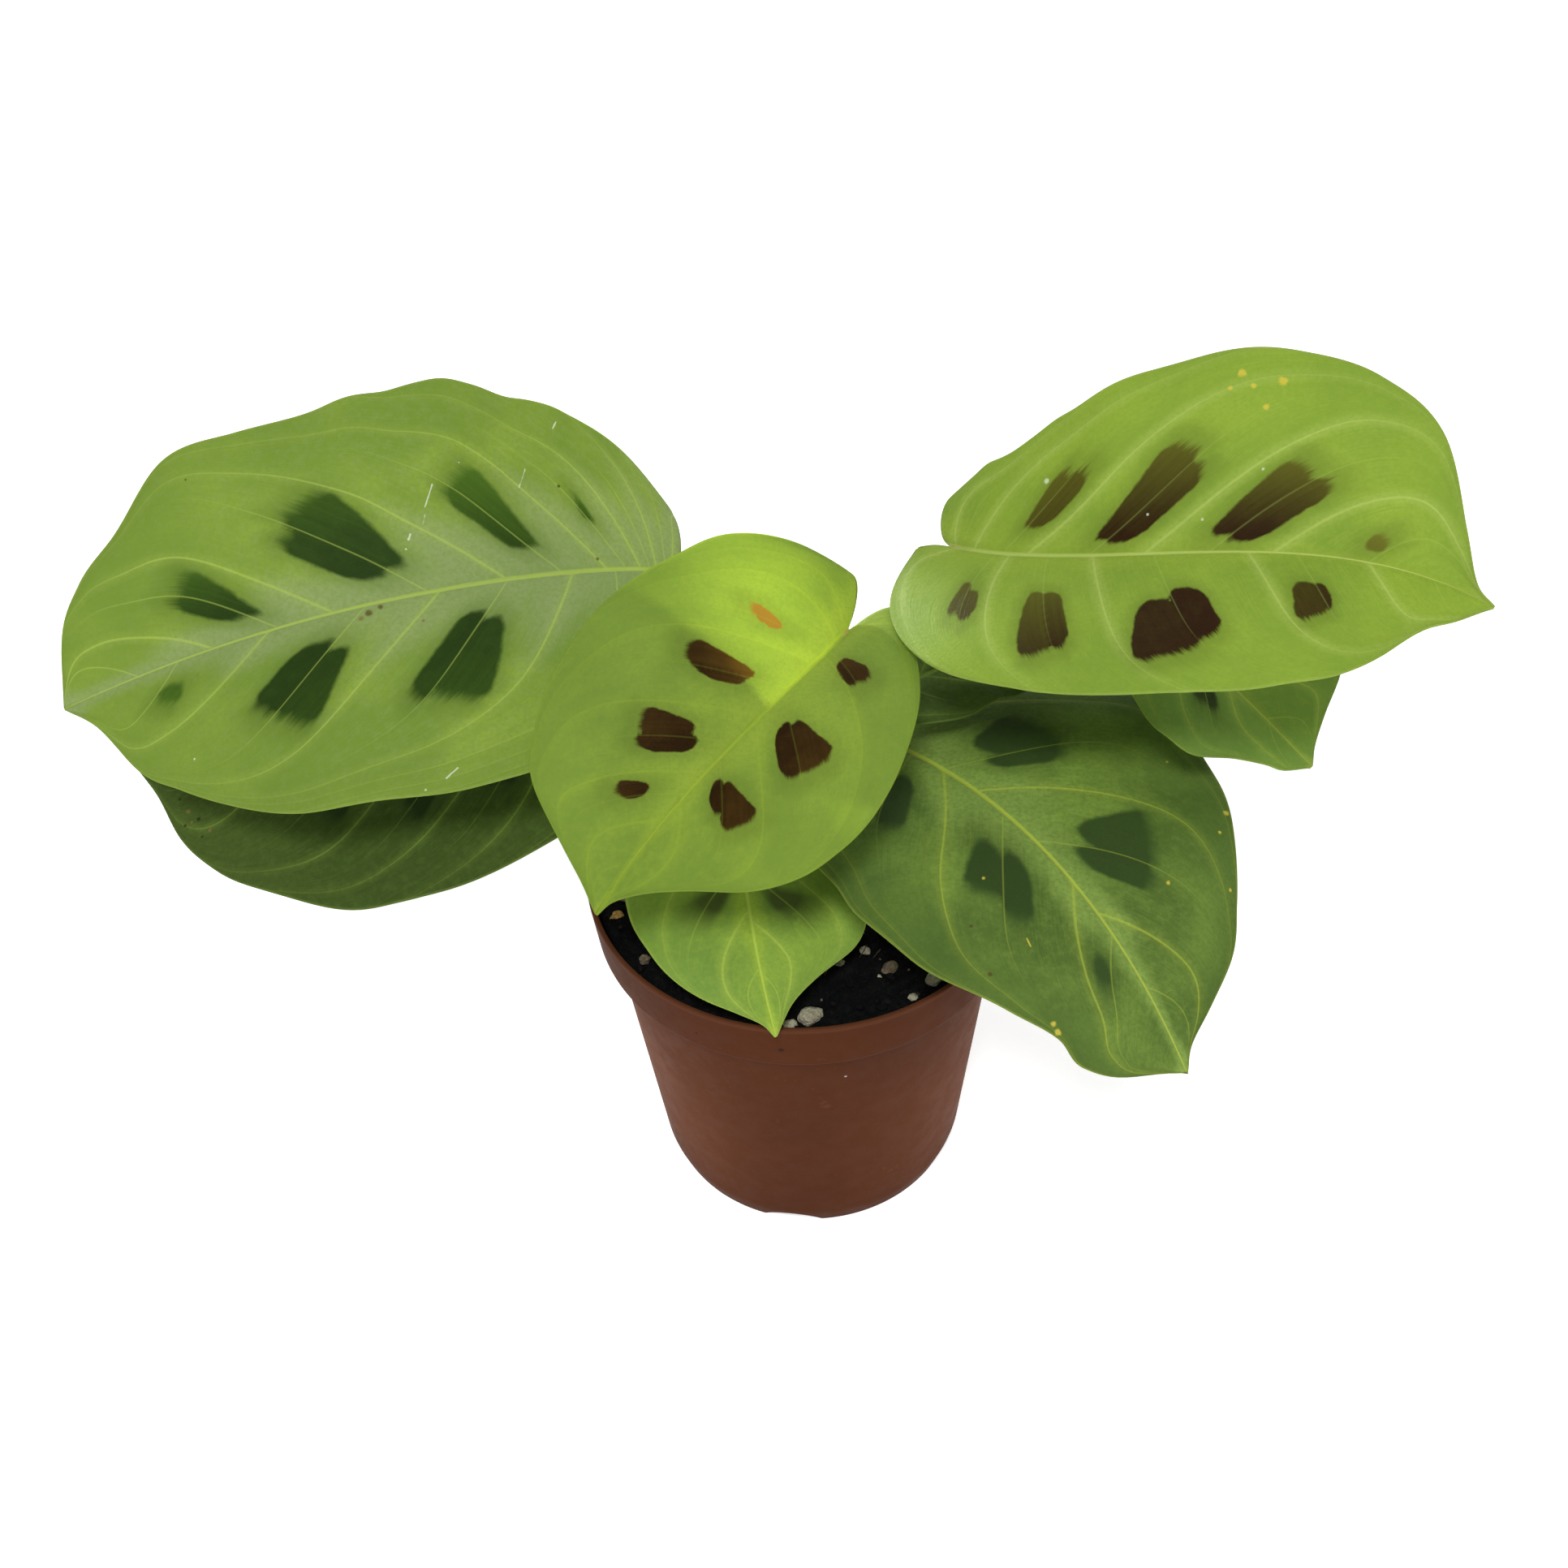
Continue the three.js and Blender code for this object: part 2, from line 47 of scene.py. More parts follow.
# Leaf form, the same for every leaf. Stations are shares of the length.
STATIONS = [0, 0.07, 0.16, 0.28, 0.4, 0.52, 0.64, 0.75, 0.84, 0.91, 0.96, 1]
TIP_HALF_WIDTH = 0.35
LOBE_REACH = 0.16
LOBE_TURN = 0.62
EAR_REACH = 0.08
EAR_POWER = 0.34
WAVE_HEIGHT = 1.1
WAVE_COUNT = 3.4
MIDRIB_STEPS = 24
GRID_STEP = 0.75
GRID_CROWDING = 1.1
BLADE_THICKNESS = 0.34

# Height and reach in mm of the grooves and swellings of the upper face and of the ribs of the lower face
LATERAL_GROOVE = (0.16, 0.9)
LATERAL_SWELL = (0.7, 4.5)
MIDRIB_GROOVE = (0.3, 1.1)
MIDRIB_SWELL = (0.25, 3)
LATERAL_RIB = (0.22, 0.7)
MIDRIB_KEEL = (1.1, 0.75)
# The share of their height that they lose, lateral ones towards the margin and others towards the tip
LATERAL_GROOVE_FADE = 0.6
MIDRIB_GROOVE_FADE = 0.7
LATERAL_RIB_FADE = 0.7
MIDRIB_KEEL_FADE = 0.8
SINK_BELOW = 0.6

# Veins: each lateral vein runs from its start on the midrib to its end at the margin, both as shares of
# the length. It leans towards the tip all the way, and its bend comes late, as a high power of the
# distance from the midrib. The pitch is the distance between two lateral veins in mm.
BEND_POWER = 7
SECOND_VEIN = 0.46
PAST_TIP = 0.02
LEAST_GAP = 0.001
PITCH_LIMITS = (0.2, 60)

# Marks: how round the corners of their near and far ends are, how far their two lobes overlap and where
# the far end takes over from the sides, in mm, then how far that end slants, as a share of the half
# width. The near ends of the lobes are drawn out like finger tips.
NEAR_CORNER = 2.6
LEAST_CORNER = 0.8
CORNER_SHARE = 0.42
NEAR_STRETCH = 1.7
FAR_CORNER = 2.6
LOBE_OVERLAP = 0.45
END_BLEND = 3
FAR_SLANT = 0.1
TAPER_LIMITS = (-0.3, 1.2)
BASE_LOBE_PALENESS = 0.08
FAR_OUTSIDE = -9.0

# How much of the light that meets the underside of a blade enters it
UNDERSIDE_THROUGH = 0.7

# Guards against division by zero
TINY_AREA = 1e-7
TINY_SLOPE = 1e-9
TINY_NORMAL = 1e-12

# Numbers that the leaf material reads at each point
SHADER_VALUES = ("phase", "pitch", "offset", "reach", "share", "across", "edge", "mark", "pale", "frayed")

# Each leaf starts at its base. Headings turn anticlockwise from +X and pitches rise from level, at the
# base, halfway and at the tip. The bank lifts the left half, at the base and at the tip. The fold lifts
# both halves beside the midrib and the curl lets them down again. Half widths are given at STATIONS, the
# tip left out.
# lobe: how far the base turns back beside the midrib, in mm, and ear: how much further one half does.
# bumps: small waves of the margin, by share of the length, height in mm and reach as a share.
# veins: start, lean and end of each lateral vein.
# marks: the second vein in a mark, as a phase between two lateral veins; then the near end, far end and
# width of the lobe on its tip side; then the near end, far end, near width and far width of the lobe on
# its base side; then how pale the mark is at its near and far end. Ends are shares of the half width and
# widths are phases.
# specks: small spots, by side, share of the length and share of the half width, then radius in mm and
# colour.
# scratches: the same, with two ends.
LEAVES = {
    "left_upper": {
        "base": (-25, 40, 145), "length": 146, "heading": (222, 187, 191), "pitch": (36, -7, -19),
        "bank": (-19, -38), "fold": 17, "curl": 14, "lobe": 8,
        "left": {
            "half": (24.5, 31.5, 40, 48, 49.5, 47, 45, 38, 29.5, 20.5, 7),
            "veins": ((0, 0, 0.7), (0.07, 0.1, 0.9), (0.2, 0.2, 0.96), (0.4, 0.31, 0.98), (0.66, 0.33, 1)),
            "marks": (
                (2.5, (0.15, 0.58, 0.17), (0.2, 0.63, 0.15, 0.4), (0, 0.15)),
                (3.42, (0.14, 0.5, 0.24), (0.2, 0.59, 0.14, 0.36), (0, 0.1)),
                (4.41, None, (0.16, 0.36, 0.14, 0.22), (0.3, 0.4)),
            ),
        },
        "right": {
            "half": (23, 31.5, 38.5, 45.5, 46.5, 45, 44, 42, 31, 23.5, 14.5),
            "bumps": (
                (0.34, 1, 0.035), (0.25, -1.2, 0.03), (0.176, 0.5, 0.025), (0.425, -0.8, 0.03),
                (0.49, 0.7, 0.035),
            ),
            "veins": (
                (0.05, 0.07, 0.16), (0.08, 0.14, 0.49), (0.14, 0.25, 0.82), (0.3, 0.37, 0.95),
                (0.56, 0.39, 0.98), (0.75, 0.39, 1),
            ),
            "marks": (
                (1.47, None, (0.29, 0.5, 0.1, 0.17), (0.15, 0.4)),
                (2.47, (0.14, 0.5, 0.16), (0.15, 0.58, 0.11, 0.33), (0.15, 0.4)),
                (3.45, (0.11, 0.47, 0.23), (0.14, 0.61, 0.13, 0.44), (0, 0.2)),
                (4.45, (0.1, 0.37, 0.2), (0.09, 0.45, 0.1, 0.36), (0, 0.3)),
            ),
        },
        "specks": (
            (1, 0.508, 0.05, 1.1, "brown"), (1, 0.49, 0.03, 0.8, "brown"), (1, 0.52, 0.07, 0.8, "tan"),
            (-1, 0.158, 0.069, 0.5, "brown"), (1, 0.432, 0.153, 0.5, "tan"),
            (-1, 0.718, 0.84, 0.35, "brown"), (-1, 0.202, 0.485, 0.45, "dark"),
            (-1, 0.34, 0.572, 0.25, "pale"), (-1, 0.438, 0.221, 0.3, "pale"),
            (1, 0.806, 0.728, 0.28, "pale"), (1, 0.465, 0.975, 0.3, "pale"),
        ),
        "scratches": (
            (-1, (0.384, 0.493), (0.4, 0.397), 0.2, "pale"),
            (-1, (0.402, 0.361), (0.408, 0.317), 0.16, "pale"),
            (-1, (0.428, 0.285), (0.432, 0.262), 0.3, "pale"),
            (-1, (0.246, 0.57), (0.26, 0.465), 0.2, "pale"),
            (-1, (0.182, 0.892), (0.19, 0.84), 0.2, "pale"), (1, (0.42, 0.9), (0.436, 0.935), 0.24, "pale"),
        ),
        "look": "grown", "seed": 11,
    },
    "left_lower": {
        "base": (-43, 13, 121), "length": 113, "heading": (180, 174, 172), "pitch": (3, -5, -9),
        "bank": (-4, -10), "fold": 3, "curl": 19, "lobe": 7,
        "left": {
            "half": (14, 22.5, 31.5, 40.5, 43.5, 42.5, 38.5, 32, 23.5, 12, 5.5),
            "veins": (
                (0.02, 0.01, 0.18), (0.11, 0.1, 0.35), (0.21, 0.17, 0.64), (0.36, 0.2, 0.8),
                (0.62, 0.2, 0.97),
            ),
            "marks": (
                (1.48, (0.15, 0.42, 0.18), (0.18, 0.47, 0.1, 0.28), (0.15, 0.25)),
                (2.48, (0.14, 0.48, 0.2), (0.18, 0.58, 0.1, 0.3), (0.1, 0.2)),
                (3.46, (0.13, 0.44, 0.2), (0.16, 0.54, 0.12, 0.36), (0.1, 0.2)),
            ),
        },
        "right": {
            "half": (16, 22, 29, 37, 41, 41, 36.5, 28.5, 20, 11.5, 5.5),
            "veins": ((0.02, 0.02, 0.35), (0.14, 0.19, 0.75), (0.33, 0.29, 0.93), (0.58, 0.3, 1)),
            "marks": (
                (1.46, (0.15, 0.48, 0.18), (0.18, 0.56, 0.1, 0.32), (0.1, 0.2)),
                (2.46, (0.13, 0.44, 0.2), (0.16, 0.5, 0.12, 0.34), (0.1, 0.2)),
            ),
        },
        "specks": (
            (1, 0.854, 0.64, 0.45, "dark"), (1, 0.83, 0.69, 0.6, "tan"), (1, 0.832, 0.84, 0.45, "dark"),
            (1, 0.804, 0.7, 0.65, "dark"), (1, 0.818, 0.76, 0.45, "tan"), (1, 0.776, 0.74, 0.55, "tan"),
            (1, 0.79, 0.82, 0.4, "dark"), (1, 0.828, 0.48, 0.4, "dark"),
        ),
        "look": "shade_darkened", "seed": 12,
    },
    "centre": {
        "base": (12, 9, 152), "length": 85, "heading": (241, 222, 232), "pitch": (9, -19, -27),
        "bank": (-22, -20), "fold": 25, "curl": 12, "lobe": 13,
        "left": {
            "half": (5.5, 13, 23.5, 31, 35, 35.5, 33, 25, 13.5, 5.5, 1.5),
            "veins": ((0.03, 0.03, 0.22), (0.13, 0.21, 0.7), (0.39, 0.36, 0.94), (0.66, 0.36, 0.99)),
            "marks": (
                (0.85, (0.18, 0.46, 0.16), (0.2, 0.54, 0.12, 0.3), (0.12, 0.05)),
                (1.62, (0.16, 0.5, 0.2), (0.21, 0.59, 0.1, 0.37), (0, 0.1)),
                (2.48, (0.1, 0.33, 0.16), (0.15, 0.51, 0.08, 0.48), (0, 0.1)),
            ),
        },
        "right": {
            "half": (9.5, 21.5, 32, 37, 38.5, 39, 36.5, 32, 26, 14, 5.5),
            "veins": (
                (0.04, 0.05, 0.3), (0.07, 0.11, 0.5), (0.17, 0.27, 0.82), (0.37, 0.35, 0.93),
                (0.57, 0.36, 0.97), (0.72, 0.36, 1),
            ),
            "marks": (
                (1.6, (0.3, 0.5, 0.1), (0.32, 0.58, 0.05, 0.22), (1, 1)),
                (2.5, (0.2, 0.47, 0.14), (0.19, 0.59, 0.1, 0.37), (0.3, 0)),
                (3.49, (0.14, 0.45, 0.23), (0.2, 0.51, 0.2, 0.46), (0, 0.1)),
                (4.46, None, (0.19, 0.42, 0.22, 0.38), (0, 0.1)),
            ),
        },
        "look": "young", "seed": 13,
    },
    "right_upper": {
        "base": (36, 36, 152), "length": 121, "heading": (-55, -14, -35), "pitch": (21, 9, -15),
        "bank": (23, 19), "fold": 28, "curl": 18, "lobe": 7,
        "left": {
            "half": (12.5, 19.5, 27, 34.5, 40, 43.5, 43, 40, 30, 12, 2.5),
            "bumps": ((0.205, 0.8, 0.035), (0.12, -0.6, 0.03), (0.07, 0.6, 0.02)), "ear": 1.8,
            "veins": (
                (0.03, 0.04, 0.3), (0.07, 0.13, 0.6), (0.18, 0.35, 0.93), (0.4, 0.45, 0.97),
                (0.62, 0.45, 0.99),
            ),
            "marks": (
                (1.55, (0.2, 0.57, 0.26), (0.21, 0.62, 0.07, 0.2), (0.35, 0.5)),
                (2.55, (0.07, 0.47, 0.23), (0.09, 0.59, 0.13, 0.36), (0, 0.5)),
                (3.51, (0.05, 0.41, 0.27), (0.08, 0.48, 0.19, 0.38), (0, 0.55)),
                (4.4, None, (0.07, 0.22, 0.11, 0.14), (0.6, 0.8)),
            ),
        },
        "right": {
            "half": (5, 23.5, 37.5, 42, 44, 42, 40.5, 36.5, 27, 15, 8.5),
            "veins": (
                (0.03, 0.01, 0.2), (0.15, 0.09, 0.3), (0.31, 0.12, 0.5), (0.58, 0.13, 0.97),
                (0.78, 0.13, 1),
            ),
            "marks": (
                (0.78, (0.4, 0.68, 0.13), (0.35, 0.69, 0.08, 0.13), (0.45, 0.3)),
                (1.48, (0.33, 0.76, 0.17), (0.33, 0.83, 0.12, 0.31), (0.5, 0.1)),
                (2.4, (0.3, 0.7, 0.2), (0.38, 0.82, 0.18, 0.4), (0.05, 0)),
                (3.4, (0.26, 0.52, 0.08), (0.26, 0.6, 0.19, 0.37), (0.2, 0.15)),
            ),
        },
        "specks": (
            (1, 0.56, 0.87, 1.1, "yellow"), (1, 0.578, 0.8, 0.7, "yellow"), (1, 0.598, 0.7, 0.8, "yellow"),
            (1, 0.62, 0.83, 1.3, "yellow"), (1, 0.542, 0.8, 0.6, "yellow"), (1, 0.214, 0.524, 0.75, "pale"),
            (1, 0.408, 0.209, 0.35, "pale"), (1, 0.502, 0.161, 0.35, "pale"),
            (1, 0.598, 0.397, 0.35, "pale"),
        ),
        "look": "bright", "seed": 14,
    },
    "right_front": {
        "base": (20, 13, 115), "length": 108, "heading": (-47, -58, -64), "pitch": (13, -7, -41),
        "bank": (1, -5), "fold": 6, "curl": 16, "lobe": 6,
        "left": {
            "half": (18, 27, 41.5, 53.5, 51, 47, 39, 31, 22.5, 11.5, 3.5),
            "veins": ((0.03, 0.04, 0.76), (0.27, 0.39, 0.93), (0.65, 0.38, 1)),
            "marks": (
                (0.6, (0.16, 0.46, 0.15), (0.22, 0.56, 0.22, 0.38), (0.1, 0.2)),
                (1.48, (0.11, 0.45, 0.21), (0.18, 0.55, 0.17, 0.44), (0.1, 0.2)),
            ),
        },
        "right": {
            "half": (21, 31, 38, 40.5, 43.5, 41, 37, 29.5, 22.5, 20.5, 13), "bumps": ((0.98, -1.5, 0.02),),
            "veins": ((0, 0, 0.75), (0.17, 0.46, 0.93), (0.57, 0.5, 1)),
            "marks": (
                (0.47, (0.2, 0.6, 0.19), (0.24, 0.6, 0.2, 0.34), (0.05, 0.15)),
                (1.45, (0.15, 0.47, 0.22), (0.2, 0.51, 0.18, 0.31), (0, 0.1)),
                (2.29, None, (0.17, 0.4, 0.13, 0.22), (0.15, 0.25)),
            ),
        },
        "specks": (
            (-1, 0.476, 0.385, 0.5, "yellow"), (1, 0.66, 0.48, 0.55, "yellow"),
            (1, 0.428, 0.8, 0.4, "yellow"), (1, 0.58, 0.97, 0.8, "yellow"), (1, 0.612, 0.9, 0.45, "yellow"),
            (1, 0.72, 0.93, 0.5, "yellow"), (-1, 0.668, 0.82, 0.6, "brown"),
            (-1, 0.556, 0.64, 0.5, "brown"), (-1, 0.808, 0.9, 0.7, "yellow"),
            (-1, 0.826, 0.95, 0.8, "yellow"),
        ),
        "scratches": ((-1, (0.636, 0.469), (0.654, 0.493), 0.2, "yellow"),), "look": "dull", "seed": 15,
    },
    "right_rear": {
        "base": (63, 45, 138), "length": 74, "heading": (-44, -44, -48), "pitch": (2, -19, -25),
        "bank": (-7, -5), "fold": 15, "curl": 13, "lobe": 6,
        "left": {
            "half": (15, 18.5, 22.5, 27, 31, 33.5, 34.5, 32, 25, 12, 4.5),
            "veins": ((0.03, 0.04, 0.5), (0.18, 0.29, 0.85), (0.4, 0.38, 0.95), (0.62, 0.38, 1)),
            "marks": (
                (1.46, (0.15, 0.44, 0.18), (0.18, 0.52, 0.1, 0.32), (0.1, 0.2)),
                (2.46, (0.13, 0.42, 0.2), (0.16, 0.5, 0.12, 0.32), (0.1, 0.2)),
            ),
        },
        "right": {
            "half": (16, 19, 22.5, 25.5, 26.5, 27.5, 30.5, 28.5, 17, 11, 7.5),
            "veins": ((0.03, 0.04, 0.5), (0.15, 0.25, 0.82), (0.37, 0.38, 0.95), (0.64, 0.38, 1)),
            "marks": (
                (1.46, (0.15, 0.48, 0.18), (0.2, 0.6, 0.12, 0.34), (0.1, 0.2)),
                (2.5, (0.18, 0.48, 0.2), (0.22, 0.52, 0.12, 0.3), (0.1, 0.2)),
            ),
        },
        "look": "behind", "seed": 16,
    },
    "right_inner": {
        "base": (19, 15, 127), "length": 50, "heading": (26, 22, 16), "pitch": (8, 0, -12), "bank": (0, 0),
        "fold": 8, "curl": 16, "lobe": 4,
        "left": {
            "half": (8, 10.5, 12.5, 14, 14.5, 14, 12.5, 10, 7, 4.5, 2),
            "veins": ((0.03, 0.04, 0.4), (0.2, 0.31, 0.85), (0.48, 0.38, 1)),
            "marks": ((1.46, (0.18, 0.42, 0.2), (0.2, 0.48, 0.12, 0.32), (0.2, 0.3)),),
        },
        "right": {
            "half": (9, 12, 15, 16, 16.5, 15.5, 14, 11, 8, 4.5, 2.5),
            "veins": ((0.03, 0.04, 0.4), (0.22, 0.33, 0.85), (0.5, 0.38, 1)),
            "marks": ((1.46, (0.18, 0.42, 0.2), (0.2, 0.48, 0.12, 0.32), (0.2, 0.3)),),
        },
        "look": "shade_darkened", "seed": 17,
    },
    "front_small": {
        "base": (-15, 15, 105), "length": 71, "heading": (-87, -85, -76), "pitch": (5, -9, -30),
        "bank": (-2, -2), "fold": 5, "curl": 20, "lobe": 7,
        "left": {
            "half": (12.5, 15, 18.5, 22.5, 25.5, 27, 26, 21.5, 12, 5.5, 2.5),
            "veins": ((0.03, 0.04, 0.45), (0.27, 0.5, 0.95), (0.62, 0.45, 1)),
            "marks": (
                (0.48, (0.2, 0.5, 0.2), (0.24, 0.54, 0.12, 0.3), (0.15, 0.25)),
                (1.45, (0.15, 0.38, 0.2), (0.18, 0.54, 0.04, 0.39), (0.15, 0.25)),
            ),
        },
        "right": {
            "half": (12.5, 15.5, 19, 23.5, 26.5, 26.5, 24, 20, 13.5, 6.5, 2),
            "veins": ((0.03, 0.04, 0.45), (0.21, 0.46, 0.92), (0.58, 0.45, 1)),
            "marks": (
                (0.48, (0.2, 0.5, 0.2), (0.24, 0.54, 0.12, 0.3), (0.15, 0.25)),
                (1.5, (0.13, 0.43, 0.19), (0.21, 0.54, 0.02, 0.29), (0.15, 0.25)),
            ),
        },
        "look": "fresh", "seed": 18,
    },
}

# Colours of each kind of leaf, as linear red, green and blue: blade, its darker patches, the grey zone
# beside the midrib, the veins, the marks and their paler version. The darker patch colour also serves as
# painted shade. Then how far the grey zone reaches in mm, how clear the second veins are, how wide the pale
# band beside a lateral vein is in mm and how strong it is (partly the vein's own paleness and partly a
# painted highlight on the raised vein), how clear the lateral veins are, how strong the painted shade in
# the trough before a lateral vein, over the outer part and over the tip is, how blurred and how frayed the
# marks are in mm, how strong the dark bloom round a mark is, and how much light gets through. The look
# for shaded leaves is a darker copy of the colours: painted shade for the leaves that lie under others.
LOOKS = {
    "grown": {
        "blade": (0.252, 0.364, 0.048), "deep": (0.15, 0.245, 0.034), "grey": (0.245, 0.318, 0.134),
        "vein": (0.38, 0.5, 0.1), "mark": (0.018, 0.04, 0.006), "faded": (0.115, 0.24, 0.022),
        "grey_reach": 19, "second": 0.5, "band": (2.4, 0.16), "line": 0.45, "trough_shade": 0.35, "outer": 0.2,
        "tip": 0.6, "blur": 0.9, "fray": 2.4, "bloom": 0.4, "through": 0.2,
    },
    # Painted shade: a darker copy of the leaf colours for the leaves that lie in the shade of others
    "shade_darkened": {
        "blade": (0.05, 0.081, 0.015), "deep": (0.039, 0.067, 0.012), "grey": (0.1, 0.155, 0.036),
        "vein": (0.2, 0.3, 0.055), "mark": (0.014, 0.028, 0.006), "faded": (0.045, 0.085, 0.02),
        "grey_reach": 8, "second": 0.5, "band": (2.0, 0.2), "line": 0.5, "trough_shade": 0.1, "outer": 0.1,
        "tip": 0, "blur": 1.0, "fray": 2.0, "bloom": 0.3, "through": 0.08,
    },
    "behind": {
        "blade": (0.215, 0.36, 0.066), "deep": (0.13, 0.235, 0.042), "grey": (0.23, 0.32, 0.06),
        "vein": (0.33, 0.43, 0.07), "mark": (0.024, 0.038, 0.008), "faded": (0.08, 0.13, 0.028),
        "grey_reach": 8, "second": 0.4, "band": (2.4, 0.25), "line": 0.4, "trough_shade": 0.15, "outer": 0.2,
        "tip": 0.1, "blur": 1.0, "fray": 2.0, "bloom": 0.4, "through": 0.2,
    },
    "young": {
        "blade": (0.295, 0.425, 0.06), "deep": (0.186, 0.295, 0.048), "grey": (0.305, 0.42, 0.06),
        "vein": (0.35, 0.48, 0.055), "mark": (0.026, 0.012, 0.003), "faded": (0.3, 0.17, 0.03),
        "grey_reach": 6, "second": 0.12, "band": (3.0, 0.2), "line": 0.2, "trough_shade": 0.55, "outer": 0.6,
        "tip": 0, "blur": 0.32, "fray": 1.0, "bloom": 0.3, "through": 0.42,
    },
    "bright": {
        "blade": (0.262, 0.388, 0.043), "deep": (0.192, 0.31, 0.037), "grey": (0.285, 0.4, 0.054),
        "vein": (0.45, 0.56, 0.15), "mark": (0.026, 0.01, 0.003), "faded": (0.15, 0.165, 0.02),
        "grey_reach": 6, "second": 0.2, "band": (2.6, 0.3), "line": 0.4, "trough_shade": 0.4, "outer": 0.2,
        "tip": 0, "blur": 0.5, "fray": 2.6, "bloom": 0.4, "through": 0.28,
    },
    "dull": {
        "blade": (0.205, 0.322, 0.056), "deep": (0.066, 0.12, 0.024), "grey": (0.228, 0.338, 0.074),
        "vein": (0.38, 0.46, 0.06), "mark": (0.031, 0.058, 0.015), "faded": (0.066, 0.115, 0.027),
        "grey_reach": 12, "second": 0.4, "band": (2.2, 0.15), "line": 0.45, "trough_shade": 0.2, "outer": 0.78,
        "tip": 0.2, "blur": 1.0, "fray": 1.8, "bloom": 0.3, "through": 0.09,
    },
    "fresh": {
        "blade": (0.3, 0.455, 0.062), "deep": (0.175, 0.295, 0.054), "grey": (0.37, 0.52, 0.06),
        "vein": (0.5, 0.64, 0.1), "mark": (0.075, 0.1, 0.026), "faded": (0.13, 0.22, 0.04), "grey_reach": 6,
        "second": 0.4, "band": (2.2, 0.25), "line": 0.4, "trough_shade": 0.2, "outer": 0.45, "tip": 0,
        "blur": 1.6, "fray": 1.8, "bloom": 0.4, "through": 0.2,
    },
}

SPECK_COLOURS = {
    "brown": (0.075, 0.035, 0.012), "yellow": (0.62, 0.5, 0.07), "tan": (0.19, 0.12, 0.05),
    "dark": (0.012, 0.008, 0.006), "white": (0.5, 0.45, 0.4), "pale": (0.62, 0.69, 0.54),
}
GRAIN_COLOURS = {
    "cream": ((0.4, 0.37, 0.27), (0.24, 0.21, 0.14)),
    "tan": ((0.2, 0.15, 0.09), (0.09, 0.065, 0.04)),
    "ochre": ((0.55, 0.32, 0.08), (0.28, 0.15, 0.04)),
}
# Colours of the other materials: the tint of the light that comes through a blade first, then its underside
COLOURS = {
    "through": (1.3, 1.15, 0.55), "under": (0.27, 0.36, 0.17), "under_vein": (0.36, 0.44, 0.2),
    "under_light": (0.95, 1, 0.85),
    "stalk": (0.23, 0.36, 0.06), "stalk_light": (0.34, 0.42, 0.1), "sheath": (0.3, 0.26, 0.09),
    "joint": (0.27, 0.14, 0.04), "stem": (0.17, 0.24, 0.06), "stem_brown": (0.24, 0.19, 0.09),
    # The rim top colour is a painted highlight on the top of the rim, and the foot colour is painted shade
    # at the bottom of the pot
    "pot": (0.06, 0.016, 0.0042), "pot_light": (0.069, 0.0183, 0.0047), "lip": (0.085, 0.028, 0.012),
    "scuff": (0.17, 0.08, 0.05), "foot": (0.05, 0.018, 0.009),
    "soil": (0.0022, 0.0026, 0.0032), "soil_light": (0.0075, 0.0075, 0.0075),
    "soil_speck": (0.04, 0.032, 0.027),
    "crumb": (0.0025, 0.0027, 0.0032), "crumb_light": (0.009, 0.0075, 0.0065),
    "crumb_brown": (0.045, 0.03, 0.02), "crumb_grey": (0.015, 0.013, 0.012),
    "fibre": (0.03, 0.018, 0.01), "fibre_light": (0.085, 0.052, 0.028),
    "floor": (0.86, 0.86, 0.86), "floor_light": (0.88, 0.88, 0.88),
}

# Stems and stalks
STEMS = {
    "left": {"foot": (-9, 23), "top": (-10, 24, 97)},
    "centre": {"foot": (4, 20), "top": (5, 19, 98)},
    "right": {"foot": (15, 25), "top": (17, 26, 96)},
}
STALKS = {
    "left_upper": {"stem": "left", "rise": 95, "out": (-0.2, 0.5, 0.9)},
    "left_lower": {"stem": "left", "rise": 88, "out": (-0.8, 0.5, 0.6)},
    "centre": {"stem": "centre", "rise": 95.5, "out": (0.1, 0.3, 1)},
    "right_upper": {"stem": "right", "rise": 92.5, "out": (0, 0.4, 1)},
    "right_front": {"stem": "centre", "rise": 90, "out": (0.8, -0.2, 0.9)},
    "right_rear": {"stem": "right", "rise": 89, "out": (0.7, 0.8, 0.9)},
    "right_inner": {"stem": "right", "rise": 91, "out": (-0.1, -0.6, 1)},
    "front_small": {"stem": "left", "rise": 91.5, "out": (-0.8, -0.2, 0.6)},
}
STEM_RADIUS = 2.328
STEM_FOOT = 73
STEM_RINGS = 60
STEM_CAP = 2.2
STEM_TOP_SHARE = 0.25
# Leaf scars round a stem: their spacing, the share by which they stand out and the square of their reach
SCAR_SPACING, SCAR_HEIGHT, SCAR_REACH = 4.2, 0.06, 0.12
FIRST_SCAR = 3
LEAN_START = 2
SHEATH_RADIUS = 1.6
SHEATH_LENGTH = 14
SHEATH_TINT_LENGTH = 16
STALK_RADIUS = 1.1
JOINT_RADIUS = 1.5
JOINT_LENGTH = 9
JOINT_EDGE = 1.5
JOINT_TINT_EDGE = 1.2
STALK_RUN_ON = 7
RUN_ON_DEPTH = 0.85
# How a stalk bends: how far it heads out from the stem and back from the joint, as shares of the way, the
# joint's direction and its place as parts forward and up from the leaf's base
HEAD_OUT, HEAD_BACK = 0.4, 0.35
ARRIVAL = (0.55, 0.85)
JOINT_PLACE = (1.2, -0.75)
RUN_ON_FROM = 0.02
STALK_RINGS, RUN_ON_RINGS = 64, 8
